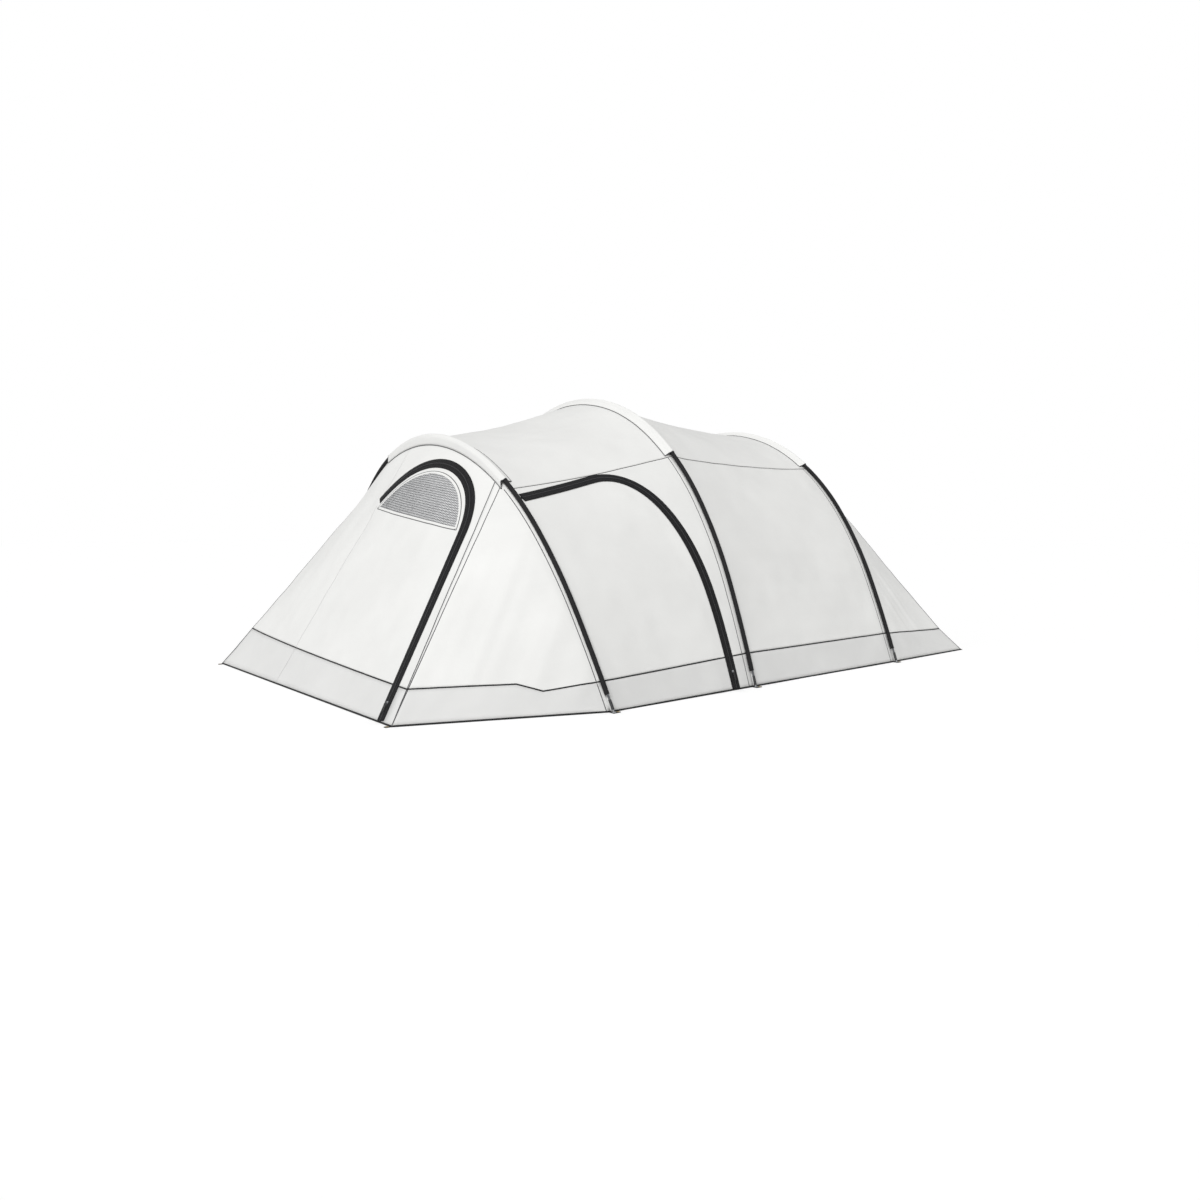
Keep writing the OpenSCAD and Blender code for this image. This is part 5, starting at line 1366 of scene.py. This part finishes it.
def bed_line(offset, end=0.0):
    """The bedroom door's line from its sill round the low corner, up and over the arch."""
    low_arc = arc((DOOR_CORNER - DOOR_HALF, DOOR_SILL + DOOR_CORNER), DOOR_CORNER + offset, 270, 180, 16)
    top_arc = arc((0, DOOR_ARCH), DOOR_HALF + offset, 180, end, 60)
    return np.vstack([low_arc, line(low_arc[-1], top_arc[0], 24)[1:-1], top_arc])


def front_wall(flat, depth, fade):
    """Points and normals of the front wall's cloth at places (y, z)."""
    p = stacked(WALL_X, flat[..., 0], flat[..., 1])
    n = np.broadcast_to([-1.0, 0, 0], p.shape)
    return p + n * (depth * noise3(p, WALL_WAVE_SIZE) * fade - WALL_DRAWN_IN)[..., None], n


def resampled(points, count):
    run = lengths(points, 0)
    return columns_at(np.linspace(0, run[-1], count), run, points)


brim = canopy(np.zeros(121), np.linspace(0, 1, 121))[:, 1:]
low_corner = (DOOR_HALF, DOOR_SILL)
sill_line = line(low_corner, (0.0, DOOR_SILL), 10)[:-1]
hole = resampled(np.vstack([sill_line, bed_line(SETBACK), line(LEG_TOP, low_corner, 24)]), 200)
outline = resampled(np.vstack([brim, [[brim[-1, 0], 0.003], [brim[0, 0], 0.003]], brim[:1]]), 1200)
middle = np.array([0.0, 0.62])
hole_a, out_a = (np.arctan2(*(ring - middle).T[::-1]) for ring in (hole, outline))
order = np.argsort(out_a)
match = [np.interp(hole_a, out_a[order], column[order], period=2 * np.pi) for column in outline.T]
wall = lerp(hole, stacked(*match), even(26)[..., None])
wall_fade = np.sin(np.pi * even(26)) ** 0.5
inner_piece("bedroom_front", "bedroom_front_wall", front_wall(wall, 0.0035, wall_fade))

dz = np.linspace(DOOR_SILL + SETBACK, DOOR_TOP - SETBACK, 90)
half_square = (DOOR_HALF - SETBACK) ** 2 - np.maximum(dz - DOOR_ARCH, 0) ** 2
leg = bed_line(-SETBACK)[:70]
leg_y = np.interp(dz, leg[:, 1], leg[:, 0])
left_y = np.where(dz > DOOR_ARCH, -np.sqrt(np.maximum(1e-6, half_square)), leg_y)
right_y = np.where(dz < LEG_TOP[1], DOOR_HALF, np.sqrt(np.maximum(0, half_square)))
door_y = lerp(left_y[:, None], right_y[:, None], np.linspace(0, 1, 70))
door_cloth = front_wall(stacked(door_y, dz[:, None]), 0.004, edge_fade(*door_y.shape))
BED_BEND = ("tent", "bedroom_door", (WALL_X, DOOR_HALF, 0.5), (WALL_X, DOOR_HALF - BED_BEND_WIDTH, 0.5))
inner_piece("bedroom_door_cloth", "bedroom_door", door_cloth, BED_BEND)

sill_line = line((DOOR_HALF - TAPE, DOOR_SILL), (DOOR_CORNER - DOOR_HALF, DOOR_SILL), 50)[:-1]
bed_zip = resampled(np.vstack([sill_line, bed_line(0.0, end=20.0)]), 300)
bed_p = stacked(WALL_X, *bed_zip.T)
bed_n = np.broadcast_to([-1.0, 0, 0], bed_p.shape)
zip_pieces("bedroom_zip_line", bed_p, bed_n, BED_BEND, "bedroom_zip", "bedroom_door_tape")

# ---- straps and cords

WEB_LOW, WEB_TOP, WEB_HALF = 0.0009, 0.0029, 0.013
WEB_EDGE = 0.0003
EYE_R = 0.0074
FOOT_EYE_ASIDE = 0.026
FOOT_STRAP, CORNER_STRAP, ALL_STRAPS = 0.090, 0.070, 0.85


def strap_part(outline, eye):
    """Flat webbing cut to an outline with a round hole at eye, as a solid with sewn edges."""
    crv = bpy.data.curves.new("strap", "CURVE")
    crv.dimensions = "2D"
    crv.fill_mode = "BOTH"
    for ring in (outline, eye + circle(EYE_R, 40)):
        spline = crv.splines.new("POLY")
        spline.points.add(len(ring) - 1)
        for k, (x, y) in enumerate(ring):
            spline.points[k].co = (x, y, 0, 1)
        spline.use_cyclic_u = True
    crv.extrude = (WEB_TOP - WEB_LOW) / 2 - WEB_EDGE
    crv.bevel_depth = WEB_EDGE
    crv.bevel_resolution = 1
    crv.offset = -WEB_EDGE
    obj = add_object("strap", crv)
    mesh = bpy.data.meshes.new_from_object(obj.evaluated_get(bpy.context.evaluated_depsgraph_get()))
    bpy.data.objects.remove(obj)
    points = np.array([v.co for v in mesh.vertices])
    faces = [list(f.vertices) for f in mesh.polygons]
    bpy.data.meshes.remove(mesh)
    points[:, 2] += (WEB_LOW + WEB_TOP) / 2
    return points, faces, points[:, :2]


def strap_outline(a, b):
    """Outline of a strap from a square end at a to a round end about b."""
    d = unit(b - a)
    side = np.array([-d[1], d[0]]) * WEB_HALF
    turn = math.atan2(d[1], d[0])
    angles = turn + np.linspace(-np.pi / 2, np.pi / 2, 20)
    return [a + side, a - side, *(b + WEB_HALF * stacked(np.cos(angles), np.sin(angles)))]


web_parts = []
for sy in (-1, 1):
    for x in HOOP_X:
        eye_x, y = x + FOOT_EYE_ASIDE, sy * (HALF_WIDE - WEB_HALF)
        start_y = sy * (HALF_WIDE - FOOT_STRAP)
        rounding = [
            (eye_x + WEB_HALF * math.sin(w), y - sy * WEB_HALF * math.cos(w))
            for w in np.linspace(0, np.pi, 16)[:-1]
        ]
        foot_outline = [
            (x - WEB_HALF, start_y), (x + WEB_HALF, start_y), (x + WEB_HALF, y - sy * WEB_HALF), *rounding,
            (eye_x, sy * HALF_WIDE), (x - WEB_HALF, sy * HALF_WIDE),
        ]
        web_parts.append(strap_part(foot_outline, np.array([eye_x, y])))
    for sx, hem_half in ((-1, HEM_HALF[FRONT]), (1, HEM_HALF[REAR])):
        eye = np.array([sx * (HALF - WEB_HALF), sy * (hem_half - WEB_HALF)])
        web_parts.append(strap_part(strap_outline(eye - np.array([sx * CORNER_STRAP, 0]), eye), eye))
straps = joined_object("peg_straps", web_parts, "webbing", rounded=False)
finish_piece(straps, "webbing", replaced=["peg_tabs"])

CORD_R = 0.0015
tp = np.linspace(0.0005, 0.9995, 400)
cords = [loft(hoop.point(tp), hoop.normal(tp), circle(CORD_R, 10)) for hoop in hoops]
finish_piece(joined_object("elastic_cords", cords, "cord"), "cord", replaced=["shock_cords"])

# ---- materials of the CAD nodes

for names, key in (
    (("front_pole", "middle_pole", "rear_pole"), "pole"),
    (("pole_ferrules", "foot_pins", "front_zip_slider", "side_zip_slider", "bedroom_zip_slider"), "steel"),
    (("pole_end_tips", "hanging_toggles"), "nylon"),
    (("peg_eyelets",), "brass"),
    (("front_zip_puller", "side_zip_puller", "bedroom_zip_puller"), "puller"),
):
    for name in names:
        for slot in bpy.data.objects[name].material_slots:
            slot.link = "OBJECT"
            slot.material = MATS[key]

# ---- floor and light

AMBIENT, KEY, FLOOR_GLOW = 0.52, 2.0, 0.29
KEY_TOWARDS, KEY_ANGLE = (-0.649, -0.336, 0.682), 28
FLOOR_HALF, FLOOR_Z = 40.0, -0.0002

shader = Shader("floor", (0.75, 0.75, 0.75), 0.95, Emission_Color=(1, 1, 1, 1))
shader.tint(shader.noise(shader.node("TexCoord", "Object"), 30.0), 0.3, 0.745 / 0.75, 0.7, 0.755 / 0.75)
seen = shader.node("LightPath", "Is Camera Ray")
shader.plug(shader.surface["Emission Strength"], shader.math("MULTIPLY", seen, FLOOR_GLOW))
floor_corners = [(FLOOR_HALF * x, FLOOR_HALF * y, FLOOR_Z) for x, y in ((-1, -1), (1, -1), (1, 1), (-1, 1))]
floor = mesh_object("floor", floor_corners, [[0, 1, 2, 3]], shader.material)

world = bpy.data.worlds.new("studio")
bpy.context.scene.world = world
world.use_nodes = True
tree = world.node_tree
tree.nodes.clear()
seen = tree.nodes.new("ShaderNodeLightPath").outputs["Is Camera Ray"]
mix = tree.nodes.new("ShaderNodeMixShader")
tree.links.new(seen, mix.inputs[0])
for slot, strength in ((1, AMBIENT), (2, 1.0)):
    background = tree.nodes.new("ShaderNodeBackground")
    background.inputs["Color"].default_value = (1, 1, 1, 1)
    background.inputs["Strength"].default_value = strength
    tree.links.new(background.outputs[0], mix.inputs[slot])
tree.links.new(mix.outputs[0], tree.nodes.new("ShaderNodeOutputWorld").inputs[0])

sun = bpy.data.lights.new("key", "SUN")
sun.energy = KEY
sun.angle = math.radians(KEY_ANGLE)
add_object("key", sun).rotation_euler = Vector(KEY_TOWARDS).to_track_quat("Z", "Y").to_euler()

bpy.context.scene.view_settings.view_transform = "Standard"

bpy.context.view_layer.update()
